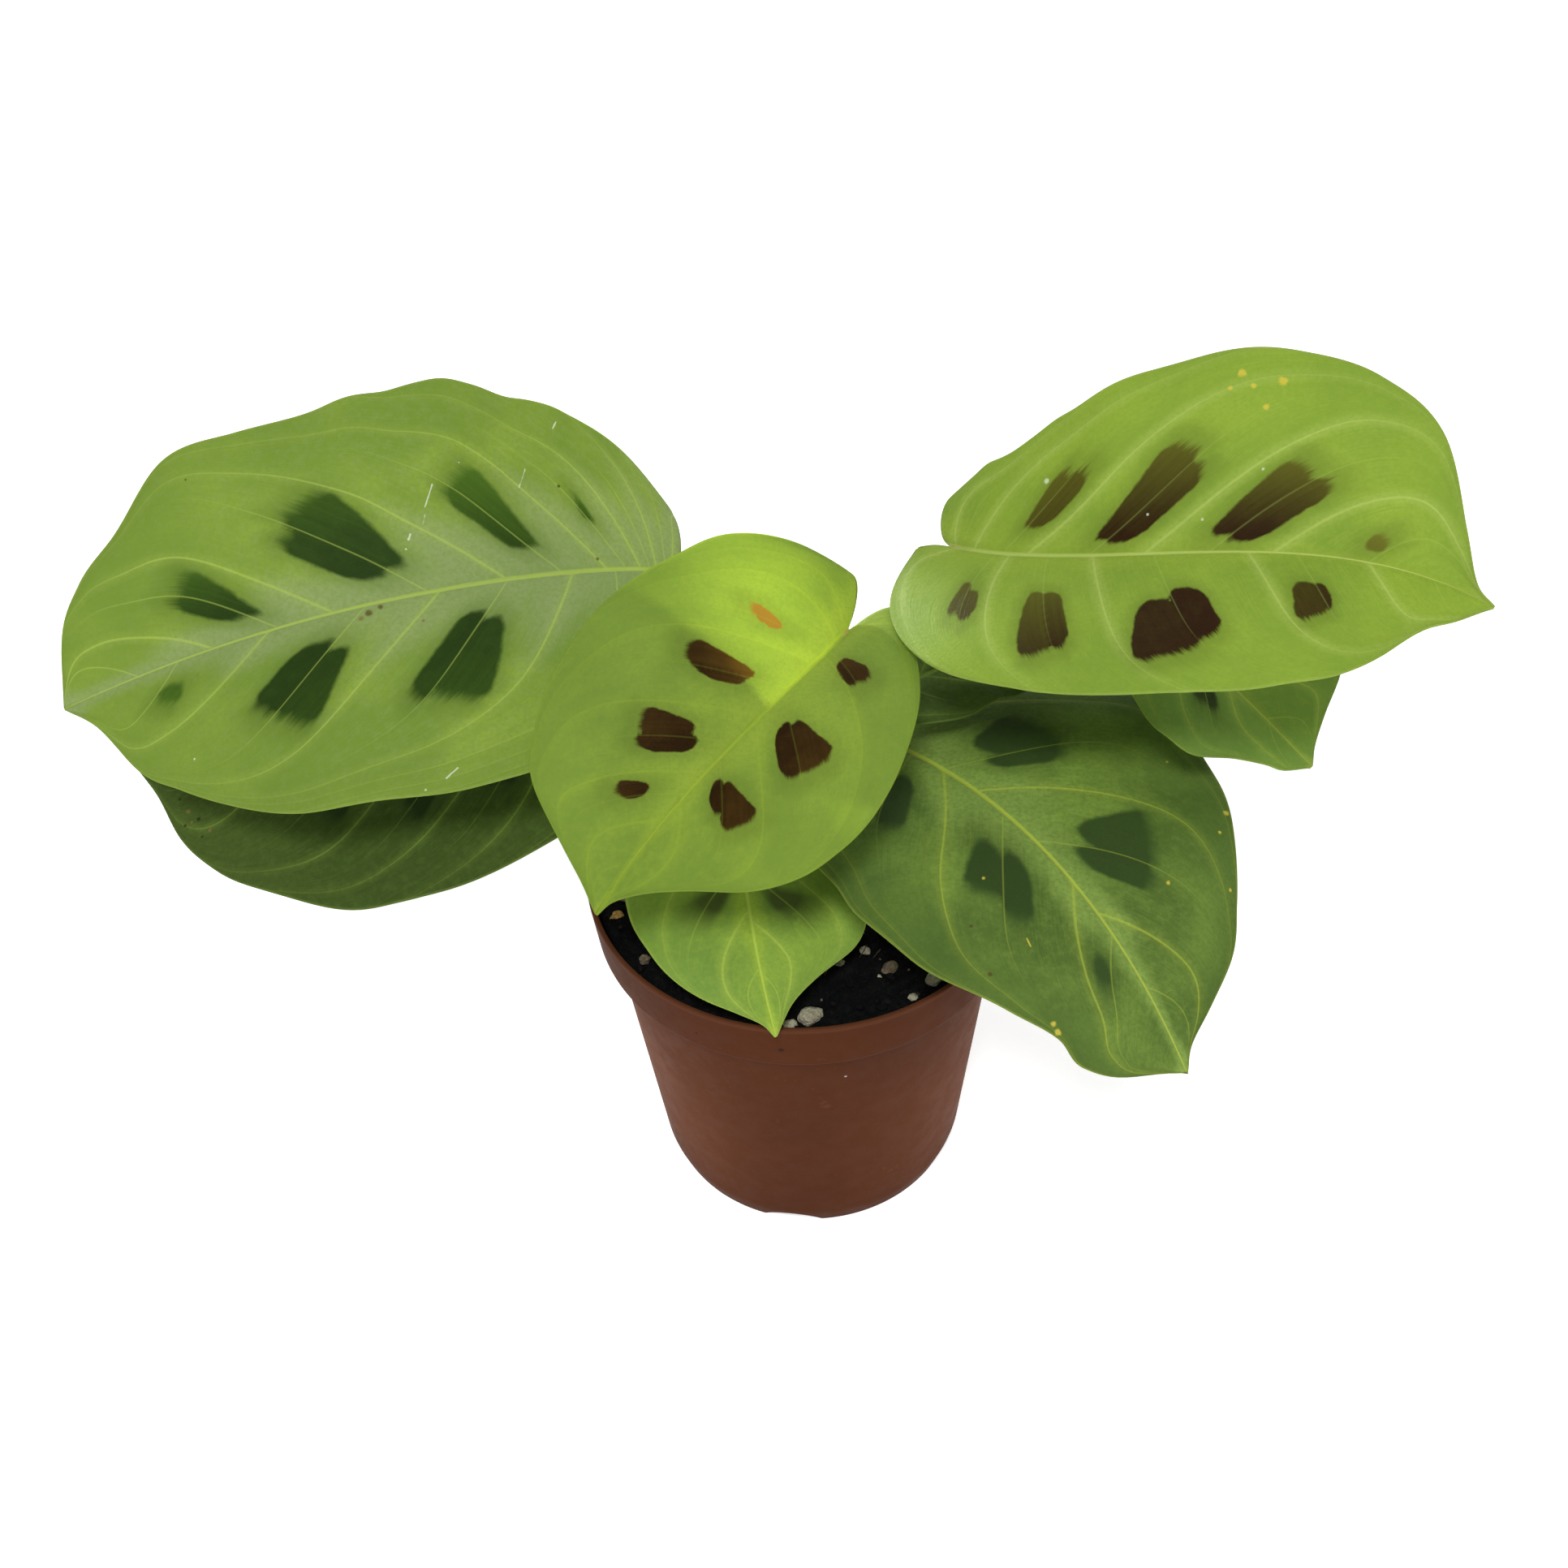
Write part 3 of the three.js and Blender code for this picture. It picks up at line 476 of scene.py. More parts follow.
# How thin a stalk gets under the midrib, how much its neck narrows, and over how many mm
RUN_ON_SHARE, RUN_ON_FALL = 0.32, 2.5
NECK_SHARE, NECK_FALL = 0.13, 1.2
JOINT_TINT_FROM, JOINT_TINT_FALL = 1, 2
TUBE_SIDES = 24
SEAM_ASIDE = (0.3, 0.9, 0.1)

# Pot
RIM_RADIUS = 50
POT_HEIGHT = 90
BAND_HEIGHT = 13.5
BAND_FOOT = POT_HEIGHT - BAND_HEIGHT
BAND_FOOT_RADIUS = 48.8
BODY_TOP_RADIUS = 45.5
BODY_FOOT_RADIUS = 37.6
BASE_RADIUS = 36
FOOT_HEIGHT = 5
WALL = 1.3
FLOOR_THICKNESS = 1.8
POT_SIDES = 192
CORNER_STEPS = 5
SHARP_DEGREES = 35
NOTCHES = 5
NOTCH_WIDTH = 15
NOTCH_HEIGHT = 4
NOTCH_DEPTH = 4.5
NOTCH_SIDES = 96
FRONT_NOTCH_ANGLE = -100
# Specks on its wall: middle and radius in mm, then colour
POT_SPECKS = (
    ((-6.9, -48.8, 82.6), 0.9, "dark"),
    ((-25.3, -42.3, 81.7), 0.45, "dark"),
    ((7.2, -43.7, 66), 0.4, "white"),
)

# Soil
SOIL_LEVEL = 86
SOIL_RELIEF = 0.7
SOIL_ROUGHNESS = 0.22
SOIL_RADIUS = 47.9
SOIL_GAP = 0.35
SOIL_EDGE = 0.3
SOIL_FOOT_INSET = 0.5
SOIL_SHOULDER = (1.65, 1.7)
SOIL_RINGS = 88
SOIL_SIDES = 264
EDGE_DROP = 0.9
# Crumbs: how many, how far they keep from the edge and the stems, their least radius and how much larger
# some are, the range of their widths and heights as shares of it, and how far up they sit
CRUMBS = 900
CRUMB_MARGIN = 1.8
STEM_CLEARANCE = 3.4
CRUMB_RADIUS, CRUMB_GROWTH = 0.35, 1.0
CRUMB_SHAPE = ((0.75, 1.25), (0.75, 1.25), (0.5, 0.85))
CRUMB_LIFT = 0.35
# Dents in each crumb and grain: how many, their depth, how far out they start, and finer waves
DENTS = 5
DENT_DEPTH = (0.05, 0.2)
DENT_START = (0.1, 0.6)
RIPPLE = 0.05
RIPPLE_TURNS = (4, 9)
# Small grains and fibres: how many, and how far from the middle they lie
SMALL_GRAINS, SMALL_GRAIN_FIELD = 26, 44
SMALL_GRAIN_RADIUS = (0.3, 0.75)
FIBRES, FIBRE_FIELD = 46, 42
FIBRE_RADIUS = (0.09, 0.2)
FIBRE_LENGTH = (3, 8)
FIBRE_BEND = (-0.25, 0.25)
FIBRE_ARCH = 0.9
FIBRE_LIFT = 0.3
FIBRE_TAPER = 0.85
FIBRE_SIDES = 5
FIBRE_STEPS = 9
UP = (0, 0, 1)
GRAINS = (
    {"at": (0, -43), "size": (3.6, 2.4, 1.7), "look": "cream"},
    {"at": (-4.5, -45), "size": (1.9, 1.5, 1.2), "look": "cream"},
    {"at": (28, -34), "size": (2.4, 2.1, 1.5), "look": "cream"},
    {"at": (13, -24), "size": (1.4, 1.2, 0.9), "look": "cream"},
    {"at": (18, -29.5), "size": (2.1, 1.7, 1.3), "look": "tan"},
    {"at": (22.5, -39), "size": (1.3, 1.1, 0.8), "look": "cream"},
    {"at": (7, -28), "size": (1.3, 1.1, 0.8), "look": "cream"},
    {"at": (-36.5, -24), "size": (1.5, 1.3, 1.0), "look": "tan"},
    {"at": (-43, -11), "size": (1.7, 1.3, 1.0), "look": "ochre"},
    {"at": (-41, -5), "size": (1.6, 1.4, 1.1), "look": "cream"},
)

# Camera and light, in metres and watts but for the camera's place in mm
CAMERA_PLACE = (-3.48, -348.46, 452.64)
CAMERA_DOWN = 44.05
CAMERA_ROLL = 2.72
LENS = 50
SENSOR = 36
NEAREST_SEEN = 0.01
WORLD_STRENGTH = 0.6
FLOOR_HALF_WIDTH = 6000
FLOOR_GLOW = 0.5
AREA_LIGHTS = {
    "key": {"at": (-0.1, -1, 1.6), "to": (0, 0, 0.1), "size": 0.35, "power": 20},
    "rear": {"at": (0.1, 1.4, 1.2), "to": (0, 0, 0.12), "size": 1.2, "power": 6},
}
SPOT_LIGHTS = {
    "behind": {"at": (-0.42, 1.127, 0.27), "to": (-0.003, 0.01, 0.168), "degrees": 2.5, "power": 280},
    "left": {"at": (-1.1, -0.1, 0.035), "to": (0, -0.01, 0.037), "degrees": 4, "power": 52},
    "right": {"at": (1.1, -0.1, 0.035), "to": (0, -0.01, 0.037), "degrees": 4, "power": 42},
}
SPOT_BLEND = 0.25
SPOT_SOFTNESS = 0.02


def along(values, share):
    """A value given at the base, halfway and at the tip, read at a share of the way."""
    start, middle, end = values
    rest = 1 - share
    return start * rest * (1 - 2 * share) + middle * 4 * share * rest + end * share * (2 * share - 1)


def hill(distance, reach):
    """1 at no distance, falling smoothly to 0 past the reach."""
    return np.exp(-((distance / reach) ** 2))


def ridge(distance, form):
    height, reach = form
    return height * hill(distance, reach)


def soft_step(distance, edge):
    """1 far below no distance, 0 far above it, with a soft edge."""
    return 1 / (1 + np.exp(distance / edge))


def unit(vector):
    return vector / np.linalg.norm(vector, axis=-1, keepdims=True)


def half_of(leaf, side):
    return leaf["left" if side > 0 else "right"]


def half_width(half, share):
    """Half width in mm at shares of the length: smooth cubics through the stations, and the bumps."""
    at = np.asarray(STATIONS, float)
    value = np.asarray([*half["half"], TIP_HALF_WIDTH], float)
    step = np.diff(at)
    rise = np.diff(value) / step
    slope = np.zeros(len(value))
    slope[1:-1] = (rise[:-1] * step[1:] + rise[1:] * step[:-1]) / (step[:-1] + step[1:])
    slope[0] = 1.5 * rise[0] - 0.5 * slope[1]
    slope[-1] = rise[-1]
    i = np.clip(np.searchsorted(at, share, side="right") - 1, 0, len(step) - 1)
    f = (share - at[i]) / step[i]
    start = (2 * f**3 - 3 * f**2 + 1) * value[i] + (f**3 - 2 * f**2 + f) * step[i] * slope[i]
    end = (3 * f**2 - 2 * f**3) * value[i + 1] + (f**3 - f**2) * step[i] * slope[i + 1]
    bumps = half.get("bumps", ())
    return start + end + sum(height * hill(share - middle, reach) for middle, height, reach in bumps)


def direction_at(leaf, share):
    heading = np.radians(along(leaf["heading"], share))
    pitch = np.radians(along(leaf["pitch"], share))
    return np.stack([np.cos(pitch) * np.cos(heading), np.cos(pitch) * np.sin(heading), np.sin(pitch)], -1)


def midrib_at(leaf, share):
    """Points of the midrib in mm, reached by small steps from the base."""
    point = np.zeros(share.shape + (3,)) + np.array(leaf["base"], float)
    step = (share * leaf["length"] / MIDRIB_STEPS)[..., None]
    for i in range(MIDRIB_STEPS):
        point += direction_at(leaf, share * (i + 0.5) / MIDRIB_STEPS) * step
    return point


def frame_at(leaf, share):
    """Directions at shares of the length: forward along the midrib, to the left and up."""
    forward = direction_at(leaf, share)
    level = unit(np.stack([-forward[..., 1], forward[..., 0], 0 * forward[..., 0]], -1))
    up = np.cross(forward, level)
    bank = np.radians(leaf["bank"][0] + (leaf["bank"][1] - leaf["bank"][0]) * share)[..., None]
    left = np.cos(bank) * level + np.sin(bank) * up
    return forward, left, np.cross(forward, left)


def half_blade(leaf, side, share, out):
    """Points in mm of one half's upper face. side is 1 on the left and -1 on the right, and out is the share
    of the half width."""
    forward, left, up = frame_at(leaf, share)
    half = half_of(leaf, side)
    width = half_width(half, share)
    fold, curl = math.radians(leaf["fold"]), math.radians(leaf["curl"])
    across = width * (math.sin(fold) - np.sin(fold - curl * out)) / curl
    wave = np.sin(np.pi * share) * np.sin(2 * np.pi * WAVE_COUNT * share + side)
    lift = width * (np.cos(fold - curl * out) - math.cos(fold)) / curl + WAVE_HEIGHT * out**2 * wave
    back = leaf["lobe"] * hill(share, LOBE_REACH) * np.sin(np.pi * LOBE_TURN * out)
    back = back + half.get("ear", 0) * hill(share, EAR_REACH) * np.sin(np.pi * out**EAR_POWER)
    point = midrib_at(leaf, share) + (side * across)[..., None] * left
    return point + lift[..., None] * up - back[..., None] * forward


def vein_phase(half, share, out):
    """A number that rises along the leaf and is whole on each lateral vein."""
    bend = out**BEND_POWER
    lines = [start + lean * out + (end - start - lean) * bend for start, lean, end in half["veins"]]
    lines.insert(0, 2 * lines[0] - lines[1])
    lines.append(np.maximum(lines[-1], 1) + PAST_TIP)
    phase = (share - lines[0]) / np.maximum(lines[1] - lines[0], LEAST_GAP) - 1
    for i in range(1, len(lines) - 1):
        part = (share - lines[i]) / np.maximum(lines[i + 1] - lines[i], LEAST_GAP)
        phase = np.where(part >= 0, i - 1 + np.minimum(part, 1), phase)
    return phase


def slope_of(field, points):
    """How fast a field on a grid of points changes, per millimetre along the surface."""
    along_rows, along_columns = np.gradient(points, axis=0), np.gradient(points, axis=1)
    field_rows, field_columns = np.gradient(field, axis=0), np.gradient(field, axis=1)
    e = (along_rows * along_rows).sum(-1)
    f = (along_rows * along_columns).sum(-1)
    g = (along_columns * along_columns).sum(-1)
    size = np.maximum(e * g - f * f, TINY_AREA)
    square = (g * field_rows**2 - 2 * f * field_rows * field_columns + e * field_columns**2) / size
    return np.sqrt(np.maximum(square, TINY_SLOPE))


def inside_corner(first, second, rounding):
    """Millimetres inside two edges at once, with the corner between them rounded."""
    a, b = rounding - first, rounding - second
    return rounding - np.hypot(np.maximum(a, 0), np.maximum(b, 0)) - np.minimum(np.maximum(a, b), 0)


def lobe_distance(grid, second, side, lobe):
    """Millimetres inside one lobe of a mark, how near its far end is, and how far out in the lobe it is."""
    near, far, near_width, far_width = lobe if len(lobe) == 4 else (*lobe, lobe[-1])
    across = (grid["phase"] - second) * side
    outward = (grid["reach"] - near) / (far - near)
    width = near_width + (far_width - near_width) * np.clip(outward, *TAPER_LIMITS)
    outer = np.clip(across / max(near_width, far_width), 0, 1)
    slant = FAR_SLANT * (1 - outer if side < 0 else outer)
    sides = np.minimum((width - across) * grid["pitch"], across * grid["pitch"] + LOBE_OVERLAP)
    near_end = (grid["reach"] - near) * grid["width"]
    far_end = (far - slant - grid["reach"]) * grid["width"]
    corner = np.clip(CORNER_SHARE * width * grid["pitch"], LEAST_CORNER, NEAR_CORNER)
    finger = inside_corner(sides, near_end / NEAR_STRETCH, corner)
    inside = np.minimum(finger, inside_corner(sides, far_end, FAR_CORNER))
    frayed = np.clip(0.5 + (np.minimum(sides, near_end) - far_end) / END_BLEND, 0, 1)
    return inside, frayed, np.clip(outward, 0, 1)


def measure_marks(half, grid):
    """Millimetres inside the nearest mark, below 0 outside it, how pale it is and how near its far end."""
    grid["mark"] = np.full(grid["phase"].shape, FAR_OUTSIDE)
    grid["pale"] = np.zeros(grid["phase"].shape)
    grid["frayed"] = np.zeros(grid["phase"].shape)
    for second, tip_lobe, base_lobe, (near_paleness, far_paleness) in half["marks"]:
        for side, lobe in ((1, tip_lobe), (-1, base_lobe)):
            if lobe is None:
                continue
            inside, frayed, outward = lobe_distance(grid, second, side, lobe)
            nearest = inside > grid["mark"]
            paleness = near_paleness + (far_paleness - near_paleness) * outward
            paleness += BASE_LOBE_PALENESS if side < 0 else 0
            grid["pale"] = np.where(nearest, paleness, grid["pale"])
            grid["frayed"] = np.where(nearest, frayed, grid["frayed"])
            grid["mark"] = np.maximum(grid["mark"], inside)


def second_vein_offset(half, phase):
    """Where the second vein lies between the two lateral veins round each point, as a phase from 0 to 1."""
    interval = np.floor(phase)
    offset = np.full(phase.shape, SECOND_VEIN)
    for mark in half["marks"]:
        offset = np.where(interval == math.floor(mark[0]), mark[0] % 1, offset)
    return offset


def half_grid(leaf, side, rows, columns):
    """Points and the values that the leaf's material reads, for one half of a blade."""
    half = half_of(leaf, side)
    share = np.linspace(0, 1, rows)[:, None] * np.ones((1, columns))
    out = (np.linspace(0, 1, columns) ** GRID_CROWDING)[None, :] * np.ones((rows, 1))
    points = half_blade(leaf, side, share, out)
    phase = vein_phase(half, share, out)
    grid = {"phase": phase, "reach": out, "share": share, "width": half_width(half, share)}
    grid["pitch"] = np.clip(1 / slope_of(phase, points), *PITCH_LIMITS)
    grid["lateral"] = np.abs(phase - np.round(phase)) * grid["pitch"]
    grid["offset"] = second_vein_offset(half, phase)
    grid["across"] = out * grid["width"]
    grid["edge"] = (1 - out) * grid["width"]
    measure_marks(half, grid)
    return points, grid


def both_halves(left, right):
    """One grid from the right margin over the midrib to the left margin."""
    return np.concatenate([right[:, :0:-1], left], axis=1)


def relief(values):
    """How far the upper face sinks at its veins, in mm."""
    out, lateral, across = values["reach"], values["lateral"], values["across"]
    grooves = (1 - LATERAL_GROOVE_FADE * out) * ridge(lateral, LATERAL_GROOVE)
    grooves += (1 - MIDRIB_GROOVE_FADE * values["share"]) * ridge(across, MIDRIB_GROOVE)
    return grooves - ridge(across, MIDRIB_SWELL) - out * (1 - out) * ridge(lateral, LATERAL_SWELL)


def grid_faces(rows, columns):
    """Faces of an upper and a lower grid of points, closed round the margin."""
    under = rows * columns
    index = np.arange(under).reshape(rows, columns)
    a, b, c, d = index[:-1, :-1], index[:-1, 1:], index[1:, 1:], index[1:, :-1]
    upper = np.stack([a, d, c, b], -1).reshape(-1, 4)
    lower = np.stack([a, b, c, d], -1).reshape(-1, 4) + under
    ring = np.concatenate([index[:, 0], index[-1, 1:], index[-2::-1, -1], index[0, -2:0:-1]])
    after = np.roll(ring, -1)
    rim = np.stack([ring, ring + under, after + under, after], -1)
    return np.concatenate([upper, lower, rim]).tolist()


def ring_faces(rings, sides):
    """Faces of a closed solid made of rings of points, followed by the middles of its two ends."""
    faces = []
    for j in range(sides):
        after = (j + 1) % sides
        for low in range(0, (rings - 1) * sides, sides):
            faces.append((low + j, low + after, low + sides + after, low + sides + j))
        faces.append((rings * sides, after, j))
        faces.append((rings * sides + 1, (rings - 1) * sides + j, (rings - 1) * sides + after))
    return faces


def add_object(name, data):
    made = bpy.data.objects.new(name, data)
    bpy.context.scene.collection.objects.link(made)
    return made


def mesh_object(name, points, faces, values=None):
    """A smooth mesh object from points in mm, with a number for each point under each name in values."""
    mesh = bpy.data.meshes.new(name)
    mesh.from_pydata((np.asarray(points, float) * MM).tolist(), [], faces)
    for label, numbers in (values or {}).items():
        layer = mesh.attributes.new(label, "FLOAT", "POINT")
        layer.data.foreach_set("value", np.asarray(numbers, np.float32).ravel())
    mesh.validate()
    mesh.polygons.foreach_set("use_smooth", [True] * len(mesh.polygons))
    return add_object(name, mesh)


def hand_over(piece, skins, node=None):
    """Gives a piece its materials and body, and hides the solid that it stands for."""
    for skin in skins:
        piece.data.materials.append(skin)
    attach(piece, "root")
    if node:
        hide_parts(node)


def build_blade(name, leaf):
    """The leaf blade as one thin closed mesh, sunk at its veins above and ribbed below."""
    rows = round(leaf["length"] / GRID_STEP)
    columns = round(max(*leaf["left"]["half"], *leaf["right"]["half"]) / GRID_STEP)
    left_points, left_values = half_grid(leaf, 1, rows, columns)
    right_points, right_values = half_grid(leaf, -1, rows, columns)
    points = both_halves(left_points, right_points)
    values = {key: both_halves(left_values[key], right_values[key]) for key in left_values}
    normal = unit(np.cross(np.gradient(points, axis=0), np.gradient(points, axis=1)) + TINY_NORMAL)
    sink = relief(values)
    keel = (1 - MIDRIB_KEEL_FADE * values["share"]) * ridge(values["across"], MIDRIB_KEEL)
    rib = (1 - LATERAL_RIB_FADE * values["reach"]) * ridge(values["lateral"], LATERAL_RIB)
    depth = sink * SINK_BELOW + BLADE_THICKNESS + keel + rib
    faces = grid_faces(*sink.shape)
    top, bottom = points - sink[..., None] * normal, points - depth[..., None] * normal
    both = {key: np.concatenate([values[key].ravel()] * 2) for key in SHADER_VALUES}
    everything = np.concatenate([top.reshape(-1, 3), bottom.reshape(-1, 3)])
    blade = mesh_object("blade_" + name, everything, faces, both)
    skins = (leaf_material("leaf_" + name, leaf, False), leaf_material("underside_" + name, leaf, True))
    hand_over(blade, skins, "leaf_" + name)
    face_count = (sink.shape[0] - 1) * (sink.shape[1] - 1)
    skin_of_face = np.zeros(len(faces), int)
    skin_of_face[face_count : 2 * face_count] = 1
    blade.data.polygons.foreach_set("material_index", skin_of_face)


class Signal:
    """What one node gives, to be added, taken away, multiplied and divided."""

    def __init__(self, shader, socket):
        self.shader, self.socket = shader, socket

    def __add__(self, other):
        return self.shader.math("ADD", self, other)

    def __sub__(self, other):
        return self.shader.math("SUBTRACT", self, other)

    def __mul__(self, other):
        return self.shader.math("MULTIPLY", self, other)

    def __truediv__(self, other):
        return self.shader.math("DIVIDE", self, other)


class Shader:
    """Short calls that add nodes to one material. Places are in metres, in the frame of the part."""

    def __init__(self, name):
        self.material = bpy.data.materials.new(name)
        self.material.use_nodes = True
        self.tree = self.material.node_tree
        self.tree.nodes.clear()
        self.output = self.tree.nodes.new("ShaderNodeOutputMaterial")

    def put(self, socket, value):
        if isinstance(value, Signal):
            self.tree.links.new(value.socket, socket)
        elif isinstance(value, tuple) and len(socket.default_value) == 4:
            socket.default_value = (*value, 1)
        else:
            socket.default_value = value

    def add(self, kind, output, inputs, **settings):
        """A new node; inputs maps names or numbers of its sockets to values or signals."""
        node = self.tree.nodes.new("ShaderNode" + kind)
        for label, value in settings.items():
            setattr(node, label, value)
        for label, value in inputs.items():
            self.put(node.inputs[label], value)
        return Signal(self, node.outputs[output])

    def number(self, label):
        return self.add("Attribute", "Fac", {}, attribute_name=label)

    def math(self, operation, *inputs):
        return self.add("Math", 0, dict(enumerate(inputs)), operation=operation)

    def vectors(self, operation, output, first, second):
        return self.add("VectorMath", output, {0: first, 1: second}, operation=operation)

    def vector(self, x, y, z):
        return self.add("CombineXYZ", 0, {0: x, 1: y, 2: z})

    def ramp(self, value, low, high, start=0.0, end=1.0):
        """A smooth step from start to end as value goes from low to high."""
        inputs = {"Value": value, "From Min": low, "From Max": high, "To Min": start, "To Max": end}
        return self.add("MapRange", "Result", inputs, interpolation_type="SMOOTHSTEP")

    def mix(self, share, first, second, blend="MIX"):
        return self.add("Mix", 2, {0: share, 6: first, 7: second}, data_type="RGBA", blend_type=blend)

    def place(self):
        return self.add("TexCoord", "Object", {})

    def noise(self, scale, detail=3.0, roughness=0.55, where=None):
        inputs = {"Vector": where or self.place(), "Scale": scale, "Detail": detail, "Roughness": roughness}
        return self.add("TexNoise", "Fac", inputs)

    def cells(self, scale):
        return self.add("TexVoronoi", "Distance", {"Vector": self.place(), "Scale": scale})

    def distance(self, first, second, scale):
        """How far apart two numbers are, times a scale."""
        return self.math("ABSOLUTE", first - second) * scale

    def from_point(self, point):
        """How far each place is from one point given in mm."""
        return self.vectors("DISTANCE", "Value", self.place(), [number * MM for number in point])

    def from_line(self, start, end):
        """How far each place is from a short straight line whose ends are given in mm."""
        start, end = np.array(start) * MM, np.array(end) * MM
        way = end - start
        offset = self.vectors("SUBTRACT", "Vector", self.place(), start.tolist())
        share = self.vectors("DOT_PRODUCT", "Value", offset, (way / (way @ way)).tolist())
        share = self.math("MINIMUM", self.math("MAXIMUM", share, 0.0), 1.0)
        nearest = self.vectors("MULTIPLY", "Vector", share, way.tolist())
        return self.vectors("DISTANCE", "Value", offset, nearest)

    def speck(self, colour, kind, away, radius):
        """A small uneven spot, where away is the distance to its middle and the radius is in mm."""
        away = away + self.noise(1100.0, 2.0) * (radius * MM)
        inside = self.ramp(away, radius * 0.9 * MM, radius * 1.6 * MM, 0.75, 0.0)
        return self.mix(inside, colour, SPECK_COLOURS[kind])

    def bump(self, height, distance, strength):
        return self.add("Bump", "Normal", {"Height": height, "Distance": distance, "Strength": strength})

    def surface(self, colour, roughness, **inputs):
        named = {label.replace("_", " "): value for label, value in inputs.items()}
        return self.add("BsdfPrincipled", "BSDF", {"Base Color": colour, "Roughness": roughness, **named})

    def finish(self, surface):
        self.put(self.output.inputs["Surface"], surface)
        return self.material


def leaf_material(name, leaf, under):
    """Green blade with lateral veins, dark marks and a grey zone by the midrib. The underside is paler and
    lets most light in, so that the upper face alone decides how much comes through the blade."""
    s = Shader(name)
    look, seed = LOOKS[leaf["look"]], float(leaf["seed"])
    blade, deep, grey, vein = (look[key] for key in ("blade", "deep", "grey", "vein"))
    phase, pitch = s.number("phase"), s.number("pitch")
    reach, share, across = s.number("reach"), s.number("share"), s.number("across")
    strands = s.noise(1.0, 4.0, 0.6, s.vector(phase * 24.0, reach * 1.6, seed))
    threads = s.noise(1.0, 2.0, where=s.vector(phase * 80.0, reach * 5.0, seed))
    broad, mottle, patches = s.noise(34.0, 2.0), s.noise(210.0, 4.0, 0.65), s.noise(520.0, 3.0, 0.7)
    fine = s.noise(1100.0, 3.0, 0.6)

    # Veins, as shares of their colour
    between = s.math("FRACT", phase)
    to_lateral = s.distance(phase, s.math("ROUND", phase), pitch)
    to_second = s.distance(between, s.number("offset"), pitch)
    taper = s.ramp(reach, 0.0, 1.0, 0.3, 0.14)
    lateral = s.ramp(to_lateral / taper, 0.5, 1.5, look["line"], 0.0) * s.ramp(reach, 0.5, 1.0, 1.0, 0.25)
    band_width, band_strength = look["band"]
    # The pale band beside each lateral vein is partly the vein's own paleness and partly a painted highlight
    # on the raised vein
    band = s.ramp(to_lateral, 0.0, band_width, 1.0, 0.0) * s.ramp(reach, 0.7, 1.0, 1.0, 0.3)
    second = s.ramp(to_second / taper, 0.25, 1.0, 1.0, 0.0) * s.ramp(reach, 0.4, 0.9, look["second"], 0.0)
    middle = s.ramp(across / s.ramp(share, 0.0, 1.0, 0.64, 0.2), 0.5, 1.5, 1.0, 0.0)

    # Blade
    colour = s.mix(s.ramp(broad, 0.36, 0.66), deep, blade)
    colour = s.mix(s.ramp(mottle, 0.4, 0.75, 0.0, 0.35), colour, deep)
    colour = s.mix(s.ramp(patches, 0.4, 0.7, 0.0, 0.3), colour, grey)
    colour = s.mix(s.ramp(threads, 0.3, 0.75, 0.0, 0.13), colour, vein)
    colour = s.mix(s.ramp(strands, 0.35, 0.7, 0.18, 0.0), colour, deep)
    # Painted shade: darker just before each lateral vein, where the blade's relief would shade it, then over
    # the outer part of the blade and towards the tip
    trough_shade = s.ramp(between, 0.55, 0.95, 0.0, look["trough_shade"]) * s.ramp(reach, 0.2, 0.7)
    colour = s.mix(trough_shade, colour, deep)
    colour = s.mix(s.ramp(reach, 0.4, 1.0, 0.0, look["outer"]), colour, deep)
    colour = s.mix(s.ramp(share, 0.45, 1.0, 0.0, look["tip"]), colour, deep)
    zone = across / s.ramp(share, 0.2, 0.95, look["grey_reach"], look["grey_reach"] * 0.15)
    zone = zone - s.ramp(to_lateral, 0.0, 7.0, 0.55, 0.0) + (strands - 0.5) * 0.7
    colour = s.mix(s.ramp(zone, 0.0, 1.2, 0.8, 0.0), colour, grey)
    # Pale band beside the lateral veins: partly their own paleness, partly a painted highlight
    colour = s.mix(band * band_strength, colour, vein)
    colour = s.mix(s.ramp(fine, 0.35, 0.7, 0.0, 0.36), colour, deep)

    # Marks: strands fray their far ends, and a dark bloom lies beyond them
    frayed = s.number("frayed")
    teeth = (strands * 0.65 + threads * 0.35 - 0.5) * (look["fray"] * 2)
    teeth = teeth * s.ramp(frayed, 0.0, 1.0, 0.12, 1.0)
    inside = s.number("mark") + teeth + (s.noise(420.0, 2.0) - 0.5) * 0.7
    blur = s.ramp(frayed, 0.0, 1.0, look["blur"] * 0.6, look["blur"] * 1.9)
    bloom = s.ramp(inside + frayed * 1.5, -3.5, 0.5, 0.0, look["bloom"])
    colour = s.mix(bloom, colour, s.mix(0.5, deep, look["mark"]))
    fading = s.number("pale") + (strands - 0.5) * 0.2
    spot = s.mix(s.ramp(fading, 0.0, 1.0), look["mark"], look["faded"])
    spot = s.mix(s.ramp(mottle, 0.4, 0.75, 0.0, 0.05), spot, look["faded"])
    colour = s.mix(s.ramp(inside / blur, -1.0, 1.0), colour, spot)

